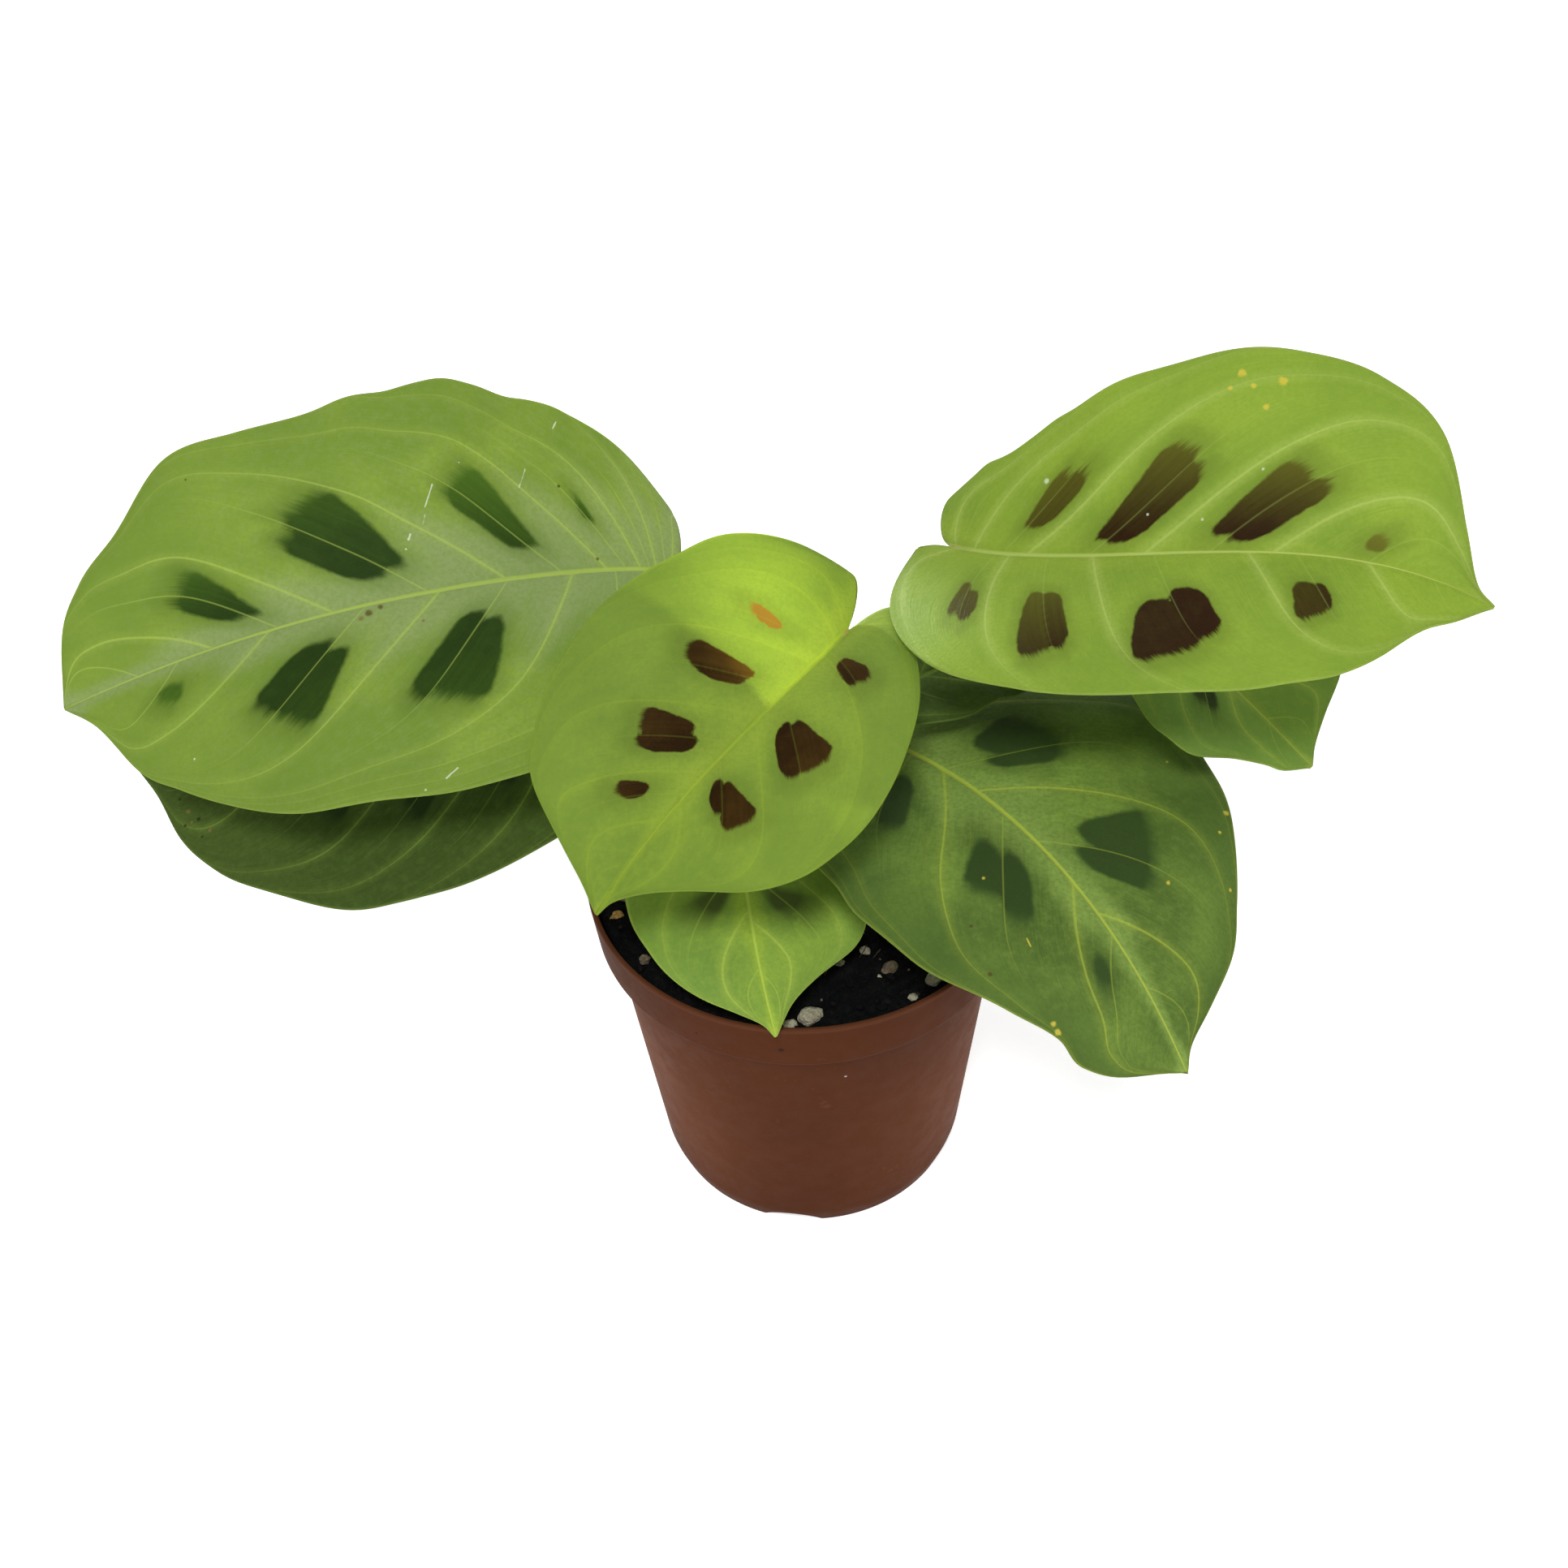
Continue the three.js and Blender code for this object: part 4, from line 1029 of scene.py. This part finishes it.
    # Veins and margin over everything, then specks
    vein_share = s.math("MAXIMUM", s.math("MAXIMUM", lateral, middle * 0.8), second * 0.7)
    colour = s.mix(vein_share, colour, vein)
    colour = s.mix(s.ramp(s.number("edge"), 0.1, 0.6, 0.28, 0.0), colour, vein)
    for side, at, out, radius, kind in leaf.get("specks", ()):
        point = half_blade(leaf, side, np.array(at), np.array(out))
        colour = s.speck(colour, kind, s.from_point(point), radius)
    for side, start, end, radius, kind in leaf.get("scratches", ()):
        start, end = (half_blade(leaf, side, np.array(at), np.array(out)) for at, out in (start, end))
        colour = s.speck(colour, kind, s.from_line(start, end), radius)

    # Light passes through the blade, and the underside looks paler
    passed, share_passed = s.mix(1.0, colour, COLOURS["through"], "MULTIPLY"), look["through"]
    if under:
        colour = s.mix(0.55, colour, COLOURS["under"])
        colour = s.mix(vein_share * 0.6, colour, COLOURS["under_vein"])
        passed, share_passed = s.mix(0.8, colour, COLOURS["under_light"]), UNDERSIDE_THROUGH
    height = strands * 0.45 + threads * 0.4 + s.cells(1500.0) * 0.3 - vein_share * 0.5
    normal = s.bump(height, 0.00028, 0.6)
    roughness = s.ramp(fine, 0.3, 0.7, 0.5, 0.62)
    skin = s.surface(colour, roughness, Normal=normal, Specular_IOR_Level=0.05)
    through = s.add("BsdfTranslucent", 0, {"Color": passed, "Normal": normal})
    return s.finish(s.add("MixShader", 0, {0: share_passed, 1: skin, 2: through}))


def tube(name, centres, radii, values=None):
    """A closed tube through points in mm, with a radius and named values for each."""
    centres = np.asarray(centres, float)
    ahead = unit(np.gradient(centres, axis=0))
    side = unit(np.cross(ahead[0], SEAM_ASIDE))
    angle = np.linspace(0, 2 * np.pi, TUBE_SIDES, endpoint=False)[:, None]
    rings = []
    for centre, forward, radius in zip(centres, ahead, radii):
        side = unit(side - forward * np.dot(side, forward))
        other = np.cross(forward, side)
        rings.append(centre + radius * (np.cos(angle) * side + np.sin(angle) * other))
    points = np.concatenate(rings + [centres[:1], centres[-1:]])
    spread = {
        key: np.concatenate([np.repeat(numbers, TUBE_SIDES), numbers[:1], numbers[-1:]])
        for key, numbers in (values or {}).items()
    }
    return mesh_object(name, points, ring_faces(len(centres), TUBE_SIDES), spread)


def bezier(a, b, c, d, t):
    t = t[:, None]
    return (1 - t) ** 3 * a + 3 * (1 - t) ** 2 * t * b + 3 * (1 - t) * t**2 * c + t**3 * d


def stem_point(stem, height):
    """A point on a stem's middle line, which leans from a little over the soil."""
    lean_from = SOIL_LEVEL + LEAN_START
    up = max(0, (height - lean_from) / (stem["top"][2] - lean_from))
    foot = np.array([*stem["foot"], height], float)
    lean = np.array([stem["top"][0] - stem["foot"][0], stem["top"][1] - stem["foot"][1], 0.0])
    return foot + lean * up


def stalk_path(leaf, stalk):
    """From the stem in one long bend to the leaf's base, then on under the midrib."""
    start = stem_point(STEMS[stalk["stem"]], stalk["rise"])
    forward, _, up = frame_at(leaf, np.zeros(()))
    end = np.array(leaf["base"], float) + JOINT_PLACE[1] * up + JOINT_PLACE[0] * forward
    reach = np.linalg.norm(end - start)
    out = unit(np.array(stalk["out"], float))
    arrival = unit(ARRIVAL[0] * forward + ARRIVAL[1] * up)
    t = np.linspace(0, 1, STALK_RINGS)
    path = bezier(start, start + HEAD_OUT * reach * out, end - HEAD_BACK * reach * arrival, end, t)
    ahead = np.linspace(RUN_ON_FROM, STALK_RUN_ON / leaf["length"], RUN_ON_RINGS)
    run_on = midrib_at(leaf, ahead) - RUN_ON_DEPTH * frame_at(leaf, ahead)[2]
    return np.concatenate([path, run_on])


def build_stalk(name, leaf, stalk, skin):
    """A sheath at the stem, a slender rod and a swollen joint that thins out under the midrib."""
    path = stalk_path(leaf, stalk)
    at = np.concatenate([[0], np.cumsum(np.linalg.norm(np.diff(path, axis=0), axis=1))])
    left = at[-1] - STALK_RUN_ON - at
    radius = STALK_RADIUS + (SHEATH_RADIUS - STALK_RADIUS) * hill(at, SHEATH_LENGTH)
    radius += (JOINT_RADIUS - STALK_RADIUS) * soft_step(left - JOINT_LENGTH, JOINT_EDGE)
    thinning = RUN_ON_SHARE + (1 - NECK_SHARE - RUN_ON_SHARE) * np.exp(left / RUN_ON_FALL)
    radius *= np.where(left < 0, thinning, 1 - NECK_SHARE * np.exp(-left / NECK_FALL))
    fading = np.exp(np.minimum(left + JOINT_TINT_FROM, 0) / JOINT_TINT_FALL)
    tints = {
        "joint": soft_step(left - JOINT_LENGTH, JOINT_TINT_EDGE) * fading,
        "sheath": hill(at, SHEATH_TINT_LENGTH),
    }
    piece = tube("stalk_" + name + "_fine", path, radius, tints)
    hand_over(piece, [skin], "stalk_" + name)


def stalk_material():
    s = Shader("stalk_skin")
    streak, grain = s.noise(260.0), s.noise(1400.0, 2.0)
    colour = s.mix(s.ramp(streak, 0.35, 0.65), COLOURS["stalk"], COLOURS["stalk_light"])
    colour = s.mix(s.number("sheath") * 0.6, colour, COLOURS["sheath"])
    colour = s.mix(s.number("joint") * 0.7, colour, COLOURS["joint"])
    normal = s.bump(streak + grain * 0.5, 0.00015, 0.6)
    roughness = s.ramp(grain, 0.3, 0.7, 0.38, 0.55)
    return s.finish(s.surface(colour, roughness, Normal=normal, Subsurface_Weight=0.12))


def build_stem(name, stem, skin):
    """A short stem with slightly raised rings where leaves have left it."""
    heights = np.linspace(STEM_FOOT, stem["top"][2], STEM_RINGS)
    straight_to = SOIL_LEVEL + LEAN_START
    centres = np.array([stem_point(stem, max(height, straight_to)) for height in heights])
    centres[:, 2] = heights
    left = (stem["top"][2] - heights) / STEM_CAP
    dome = np.sqrt(np.clip(left * (2 - left), 0, 1))
    cap = np.where(left < 1, STEM_TOP_SHARE + (1 - STEM_TOP_SHARE) * dome, 1)
    from_scar = (heights - SOIL_LEVEL - FIRST_SCAR) % SCAR_SPACING - SCAR_SPACING / 2
    scars = 1 + SCAR_HEIGHT * np.exp(-(from_scar**2) / SCAR_REACH)
    piece = tube("stem_" + name + "_fine", centres, STEM_RADIUS * cap * scars)
    hand_over(piece, [skin], "stem_" + name)


def stem_material():
    s = Shader("stem_bark")
    patch = s.noise(420.0, 4.0)
    colour = s.mix(s.ramp(patch, 0.35, 0.68), COLOURS["stem"], COLOURS["stem_brown"])
    return s.finish(s.surface(colour, 0.6, Normal=s.bump(patch, 0.0003, 0.7)))


def inner_radius(height):
    if height >= BAND_FOOT + WALL:
        up = (height - BAND_FOOT) / BAND_HEIGHT
        return BAND_FOOT_RADIUS + (RIM_RADIUS - BAND_FOOT_RADIUS) * up - WALL
    up = (height - FOOT_HEIGHT) / (BAND_FOOT - FOOT_HEIGHT)
    return BODY_FOOT_RADIUS + (BODY_TOP_RADIUS - BODY_FOOT_RADIUS) * up - WALL


def rounded(corners):
    """A profile whose corners are (radius, height, rounding); each is turned in a few short steps."""
    made = []
    for k, (x, z, rounding) in enumerate(corners):
        if rounding == 0:
            made.append((x, z))
            continue
        here = np.array([x, z], float)
        before = np.array(corners[k - 1][:2], float)
        after = np.array(corners[(k + 1) % len(corners)][:2], float)
        start = here + unit(before - here) * rounding
        end = here + unit(after - here) * rounding
        for t in np.linspace(0, 1, CORNER_STEPS + 1):
            made.append(tuple((1 - t) ** 2 * start + 2 * t * (1 - t) * here + t**2 * end))
    return made


def lathe(name, profile, sides):
    """A closed solid turned round Z from a profile in mm that starts and ends on the axis."""
    angle = np.linspace(0, 2 * np.pi, sides, endpoint=False)
    rings = profile[1:-1]
    points = [(r * math.cos(a), r * math.sin(a), z) for r, z in rings for a in angle]
    points += [(0, 0, profile[0][1]), (0, 0, profile[-1][1])]
    return mesh_object(name, points, ring_faces(len(rings), sides))


def pot_profile():
    return rounded(
        [
            (0, 0, 0),
            (BASE_RADIUS, 0, 0.8),
            (BODY_FOOT_RADIUS, FOOT_HEIGHT, 1.2),
            (BODY_TOP_RADIUS, BAND_FOOT - 0.4, 0.5),
            (BODY_TOP_RADIUS + 1.0, BAND_FOOT, 0.4),
            (BAND_FOOT_RADIUS - 0.3, BAND_FOOT, 0.35),
            (BAND_FOOT_RADIUS, BAND_FOOT + 0.6, 0.35),
            (RIM_RADIUS, POT_HEIGHT - 0.4, 0.3),
            (RIM_RADIUS - 0.3, POT_HEIGHT, 0.25),
            (RIM_RADIUS - WALL + 0.3, POT_HEIGHT, 0.25),
            (RIM_RADIUS - WALL, POT_HEIGHT - 0.4, 0.3),
            (inner_radius(BAND_FOOT + WALL), BAND_FOOT + WALL, 0.5),
            (inner_radius(BAND_FOOT), BAND_FOOT + WALL, 0.5),
            (inner_radius(FOOT_HEIGHT), FOOT_HEIGHT, 1.0),
            (BASE_RADIUS - WALL, FLOOR_THICKNESS, 0.8),
            (0, FLOOR_THICKNESS, 0),
        ]
    )


def notch_cutters():
    """Short cylinders across the foot of the wall, each leaving an arch of the notch's width and height."""
    radius = ((NOTCH_WIDTH / 2) ** 2 + NOTCH_HEIGHT**2) / (2 * NOTCH_HEIGHT)
    reach = BODY_FOOT_RADIUS - NOTCH_DEPTH / 2
    size = {"radius": radius * MM, "depth": NOTCH_DEPTH * MM}
    cutters = []
    for k in range(NOTCHES):
        bpy.ops.mesh.primitive_cylinder_add(vertices=NOTCH_SIDES, **size)
        cutter = bpy.context.object
        angle = math.radians(FRONT_NOTCH_ANGLE + 360 * k / NOTCHES)
        middle = Vector((reach * math.cos(angle), reach * math.sin(angle), NOTCH_HEIGHT - radius))
        cutter.location = middle * MM
        cutter.rotation_euler = (0, math.pi / 2, angle)
        cutters.append(cutter)
    return cutters


def build_pot():
    """The moulded pot with its rim band and the drain notches cut from its foot."""
    pot = lathe("pot_shell", pot_profile(), POT_SIDES)
    cutters = notch_cutters()
    for cutter in cutters:
        cut = pot.modifiers.new("notch", "BOOLEAN")
        cut.operation = "DIFFERENCE"
        cut.object = cutter
        cut.solver = "EXACT"
    bpy.context.view_layer.update()
    evaluated = pot.evaluated_get(bpy.context.evaluated_depsgraph_get())
    finished = bpy.data.meshes.new_from_object(evaluated)
    pot.modifiers.clear()
    pot.data = finished
    for cutter in cutters:
        bpy.data.objects.remove(cutter)
    finished.polygons.foreach_set("use_smooth", [True] * len(finished.polygons))
    finished.set_sharp_from_angle(angle=math.radians(SHARP_DEGREES))
    hand_over(pot, [pot_material()], "pot")


def pot_material():
    """Brown plastic with a paler rim top that is a painted highlight, a foot darkened by painted shade,
    light scuffs and a few specks of dirt.
    """
    s = Shader("pot_plastic")
    broad, scuff, fine = s.noise(26.0), s.noise(190.0, 5.0, 0.7), s.noise(2600.0, 2.0)
    height = s.add("SeparateXYZ", 2, {0: s.place()})
    colour = s.mix(s.ramp(broad, 0.3, 0.7), COLOURS["pot"], COLOURS["pot_light"])
    # Painted highlight: the top of the rim is paler
    colour = s.mix(s.ramp(height, 0.0885, 0.0895), colour, COLOURS["lip"])
    colour = s.mix(s.ramp(scuff, 0.62, 0.74, 0.0, 0.2), colour, COLOURS["scuff"])
    # Painted shade: darker towards the bottom, where the pot stands on the floor
    colour = s.mix(s.ramp(height, 0.0, 0.005, 0.5, 0.0), colour, COLOURS["foot"])
    for point, radius, kind in POT_SPECKS:
        colour = s.speck(colour, kind, s.from_point(point), radius)
    roughness = s.ramp(scuff, 0.3, 0.75, 0.55, 0.68)
    normal = s.bump(fine + scuff * 0.4, 0.00006, 0.6)
    return s.finish(s.surface(colour, roughness, Normal=normal, Specular_IOR_Level=0.04))


def soil_height(x, y):
    broad = np.sin(0.21 * x + 1.7) * np.sin(0.19 * y + 0.4)
    fine = np.sin(0.47 * x - 0.38 * y) * np.sin(0.33 * x + 0.52 * y + 2)
    return SOIL_LEVEL + SOIL_RELIEF * (broad + 0.6 * fine)


def over_soil(x, y, lift):
    return x, y, float(soil_height(x, y)) + lift


def rough_field(x, y, waves=26, longest=9.0, shortest=1.1):
    """A rough height from many crossing waves with seeded directions."""
    rng = random.Random(5)
    total = np.zeros(np.shape(x))
    for k in range(waves):
        size = longest * (shortest / longest) ** (k / (waves - 1))
        angle = rng.uniform(0, math.pi)
        turn = 2 * math.pi / size
        wave = np.sin(turn * (x * math.cos(angle) + y * math.sin(angle)) + rng.uniform(0, 6.28))
        total += wave * size / longest
    return total


def build_soil():
    """The soil as one closed plug with a rough top, a little clear of the pot's wall and floor."""
    turn = np.linspace(0, 2 * np.pi, SOIL_SIDES, endpoint=False)
    radius = np.linspace(0, SOIL_RADIUS - SOIL_EDGE, SOIL_RINGS)[1:, None]
    x, y = radius * np.cos(turn), radius * np.sin(turn)
    z = soil_height(x, y) + SOIL_ROUGHNESS * rough_field(x, y)
    z[-1] = SOIL_LEVEL - EDGE_DROP
    top = np.stack([x, y, z], -1)[::-1].reshape(-1, 3)
    walls = [
        np.stack([r * np.cos(turn), r * np.sin(turn), h + 0 * turn], -1)
        for r, h in (
            (BASE_RADIUS - WALL - SOIL_FOOT_INSET, FLOOR_THICKNESS + SOIL_GAP),
            (inner_radius(FOOT_HEIGHT) - SOIL_GAP, FOOT_HEIGHT + SOIL_GAP),
            (inner_radius(BAND_FOOT) - SOIL_GAP, BAND_FOOT + SOIL_SHOULDER[0]),
            (inner_radius(BAND_FOOT + 2) - SOIL_GAP, BAND_FOOT + SOIL_SHOULDER[1]),
        )
    ]
    ends = np.array([[0, 0, FLOOR_THICKNESS + SOIL_GAP], [0, 0, soil_height(0, 0)]], float)
    faces = ring_faces(len(walls) + SOIL_RINGS - 1, SOIL_SIDES)
    soil = mesh_object("soil_plug", np.concatenate([*walls, top, ends]), faces)
    hand_over(soil, [soil_material()], "soil")


def ball(steps):
    """Points and faces of a unit ball made from a subdivided icosahedron."""
    shape = bmesh.new()
    bmesh.ops.create_icosphere(shape, subdivisions=steps, radius=1)
    points = np.array([v.co for v in shape.verts])
    faces = np.array([[v.index for v in f.verts] for f in shape.faces])
    shape.free()
    return points, faces


def lumps(name, places, steps, skin):
    """Many small uneven lumps in one mesh; each place holds a middle, half sizes, a turn and a seed."""
    base, triangles = ball(steps)
    points, faces, tint = [], [], []
    for middle, size, turn, seed in places:
        rng = random.Random(seed)
        cos, sin = math.cos(turn), math.sin(turn)
        swing = np.array([[cos, -sin, 0], [sin, cos, 0], [0, 0, 1]])
        dents = np.ones(len(base))
        for _ in range(DENTS):
            way = unit(np.array([rng.gauss(0, 1), rng.gauss(0, 1), rng.gauss(0, 1)]))
            dents -= rng.uniform(*DENT_DEPTH) * np.clip(base @ way - rng.uniform(*DENT_START), 0, 1) * 2
            dents += RIPPLE * np.sin(base @ way * rng.uniform(*RIPPLE_TURNS) + rng.uniform(0, 6))
        faces.append(triangles + len(points) * len(base))
        points.append((base * dents[:, None] * size) @ swing.T + middle)
        tint.append(np.full(len(base), rng.random()))
    tints = {"tint": np.concatenate(tint)}
    made = mesh_object(name, np.concatenate(points), np.concatenate(faces).tolist(), tints)
    hand_over(made, [skin])


def random_place(rng, radius):
    """A random place within a radius round the middle, and its direction."""
    reach = radius * math.sqrt(rng.random())
    angle = rng.uniform(0, 2 * math.pi)
    return reach * math.cos(angle), reach * math.sin(angle), angle


def build_crumbs():
    """Crumbs of soil all over its top, none in the stems."""
    rng = random.Random(41)
    places = []
    for k in range(CRUMBS):
        x, y, _ = random_place(rng, SOIL_RADIUS - CRUMB_MARGIN)
        radius = CRUMB_RADIUS + CRUMB_GROWTH * rng.random() ** 3
        size = radius * np.array([rng.uniform(*limits) for limits in CRUMB_SHAPE])
        from_stems = [math.hypot(x - stem["foot"][0], y - stem["foot"][1]) for stem in STEMS.values()]
        if min(from_stems) > STEM_CLEARANCE:
            places.append((over_soil(x, y, CRUMB_LIFT * radius), size, rng.uniform(0, 2 * math.pi), 500 + k))
    lumps("soil_crumbs", places, 2, crumb_material())


def build_grains():
    """The pale grains on the soil, in one mesh for each colour."""
    groups = {}
    for k, grain in enumerate(GRAINS):
        middle = over_soil(*grain["at"], 0.3 * grain["size"][2])
        groups.setdefault(grain["look"], []).append((middle, grain["size"], 0.1 * k, 900 + k))
    rng = random.Random(77)
    for k in range(SMALL_GRAINS):
        x, y, angle = random_place(rng, SMALL_GRAIN_FIELD)
        radius = rng.uniform(*SMALL_GRAIN_RADIUS)
        place = (over_soil(x, y, 0.4 * radius), (radius, radius, 0.8 * radius), angle, 960 + k)
        groups.setdefault(rng.choice(("cream", "tan")), []).append(place)
    for look, places in groups.items():
        lumps("soil_grains_" + look, places, 3, grain_material(look))


def grain_material(look):
    bright, dark = GRAIN_COLOURS[look]
    s = Shader("grain_" + look)
    patch = s.noise(620.0, 4.0, 0.65)
    colour = s.mix(s.ramp(patch, 0.38, 0.62), dark, bright)
    return s.finish(s.surface(colour, 0.85, Normal=s.bump(patch * 0.7 + s.cells(1800.0), 0.0004, 0.8)))


def soil_material():
    s = Shader("soil_dark")
    patch, speck = s.noise(520.0, 5.0, 0.7), s.noise(1900.0, 3.0, 0.6)
    colour = s.mix(s.ramp(patch, 0.4, 0.7), COLOURS["soil"], COLOURS["soil_light"])
    colour = s.mix(s.ramp(speck, 0.68, 0.76, 0.0, 0.6), colour, COLOURS["soil_speck"])
    normal = s.bump(patch + speck * 0.5, 0.0011, 1.0)
    return s.finish(s.surface(colour, 0.9, Normal=normal, Specular_IOR_Level=0.1))


def crumb_material():
    s = Shader("soil_crumb")
    tint, patch = s.number("tint"), s.noise(1100.0, 4.0, 0.65)
    colour = s.mix(s.ramp(tint, 0.5, 1.0), COLOURS["crumb"], COLOURS["crumb_light"])
    colour = s.mix(s.ramp(tint, 0.95, 0.97, 0.0, 0.5), colour, COLOURS["crumb_brown"])
    colour = s.mix(s.ramp(patch, 0.58, 0.78, 0.0, 0.4), colour, COLOURS["crumb_grey"])
    return s.finish(s.surface(colour, 0.88, Normal=s.bump(patch, 0.0005, 0.9), Specular_IOR_Level=0.1))


def build_fibres():
    """Short brown fibres lying over the crumbs, in one mesh."""
    rng = random.Random(63)
    points, faces = [], []
    sides, steps = FIBRE_SIDES, FIBRE_STEPS
    for _ in range(FIBRES):
        x, y, _ = random_place(rng, FIBRE_FIELD)
        heading, bend = rng.uniform(0, 2 * math.pi), rng.uniform(*FIBRE_BEND)
        radius = rng.uniform(*FIBRE_RADIUS)
        length = rng.uniform(*FIBRE_LENGTH)
        start = len(points)
        for i in range(steps):
            lift = radius + FIBRE_ARCH * math.sin(math.pi * i / (steps - 1))
            centre = np.array(over_soil(x, y, FIBRE_LIFT + lift))
            side = np.array([-math.sin(heading), math.cos(heading), 0])
            thin = radius * (1 - FIBRE_TAPER * abs(2 * i / (steps - 1) - 1) ** 3)
            for j in range(sides):
                turn = 2 * math.pi * j / sides
                points.append(centre + thin * (math.cos(turn) * side + math.sin(turn) * np.array(UP)))
            heading += bend
            x += length / steps * math.cos(heading)
            y += length / steps * math.sin(heading)
        for low in range(start, start + (steps - 1) * sides, sides):
            for j in range(sides):
                after = (j + 1) % sides
                faces.append((low + j, low + sides + j, low + sides + after, low + after))
        faces.append(tuple(range(start, start + sides)))
        faces.append(tuple(reversed(range(len(points) - sides, len(points)))))
    inside = [math.hypot(x, y) < inner_radius(SOIL_LEVEL) for x, y, _ in points]
    kept = [face for face in faces if all(inside[i] for i in face)]
    hand_over(mesh_object("soil_fibres", np.array(points), kept), [fibre_material()])


def fibre_material():
    s = Shader("soil_fibre")
    patch = s.noise(900.0)
    colour = s.mix(s.ramp(patch, 0.35, 0.65), COLOURS["fibre"], COLOURS["fibre_light"])
    return s.finish(s.surface(colour, 0.8, Normal=s.bump(patch, 0.0002, 0.6)))


def build_floor():
    size = FLOOR_HALF_WIDTH
    corners = [(-size, -size, 0), (size, -size, 0), (size, size, 0), (-size, size, 0)]
    floor = mesh_object("floor", corners, [(0, 1, 2, 3)])
    s = Shader("floor_pale")
    tone = s.mix(s.noise(3.0), COLOURS["floor"], COLOURS["floor_light"])
    surface = s.surface(tone, 0.9, Specular_IOR_Level=0.1, Emission_Strength=FLOOR_GLOW)
    floor.data.materials.append(s.finish(surface))


def lamp(name, kind, light, **settings):
    """A light of one kind at its place, turned to its target."""
    data = bpy.data.lights.new(name, kind)
    data.energy = light["power"]
    for label, value in settings.items():
        setattr(data, label, value)
    made = add_object(name, data)
    made.location = light["at"]
    made.rotation_euler = (Vector(light["to"]) - Vector(light["at"])).to_track_quat("-Z", "Y").to_euler()


def build_light():
    world = bpy.data.worlds.new("studio")
    world.use_nodes = True
    background = world.node_tree.nodes["Background"]
    background.inputs[0].default_value = (1, 1, 1, 1)
    background.inputs[1].default_value = WORLD_STRENGTH
    bpy.context.scene.world = world
    for name, light in AREA_LIGHTS.items():
        lamp(name, "AREA", light, shape="DISK", size=light["size"])
    for name, light in SPOT_LIGHTS.items():
        width = math.radians(light["degrees"])
        lamp(name, "SPOT", light, spot_size=width, spot_blend=SPOT_BLEND, shadow_soft_size=SPOT_SOFTNESS)


def build_camera():
    camera = bpy.data.cameras.new("camera")
    camera.lens = LENS
    camera.sensor_width = SENSOR
    camera.clip_start = NEAREST_SEEN
    eye = add_object("camera", camera)
    tilt = Matrix.Rotation(math.radians(90 - CAMERA_DOWN), 4, "X")
    roll = Matrix.Rotation(math.radians(-CAMERA_ROLL), 4, "Z")
    eye.matrix_world = Matrix.Translation(Vector(CAMERA_PLACE) * MM) @ tilt @ roll
    bpy.context.scene.camera = eye


def main():
    bpy.context.scene.view_settings.view_transform = "Standard"
    build_camera()
    build_light()
    build_floor()
    build_pot()
    build_soil()
    build_crumbs()
    build_grains()
    build_fibres()
    stem_skin, stalk_skin = stem_material(), stalk_material()
    for name, stem in STEMS.items():
        build_stem(name, stem, stem_skin)
    for name, leaf in LEAVES.items():
        build_stalk(name, leaf, STALKS[name], stalk_skin)
        build_blade(name, leaf)


main()
bpy.context.view_layer.update()
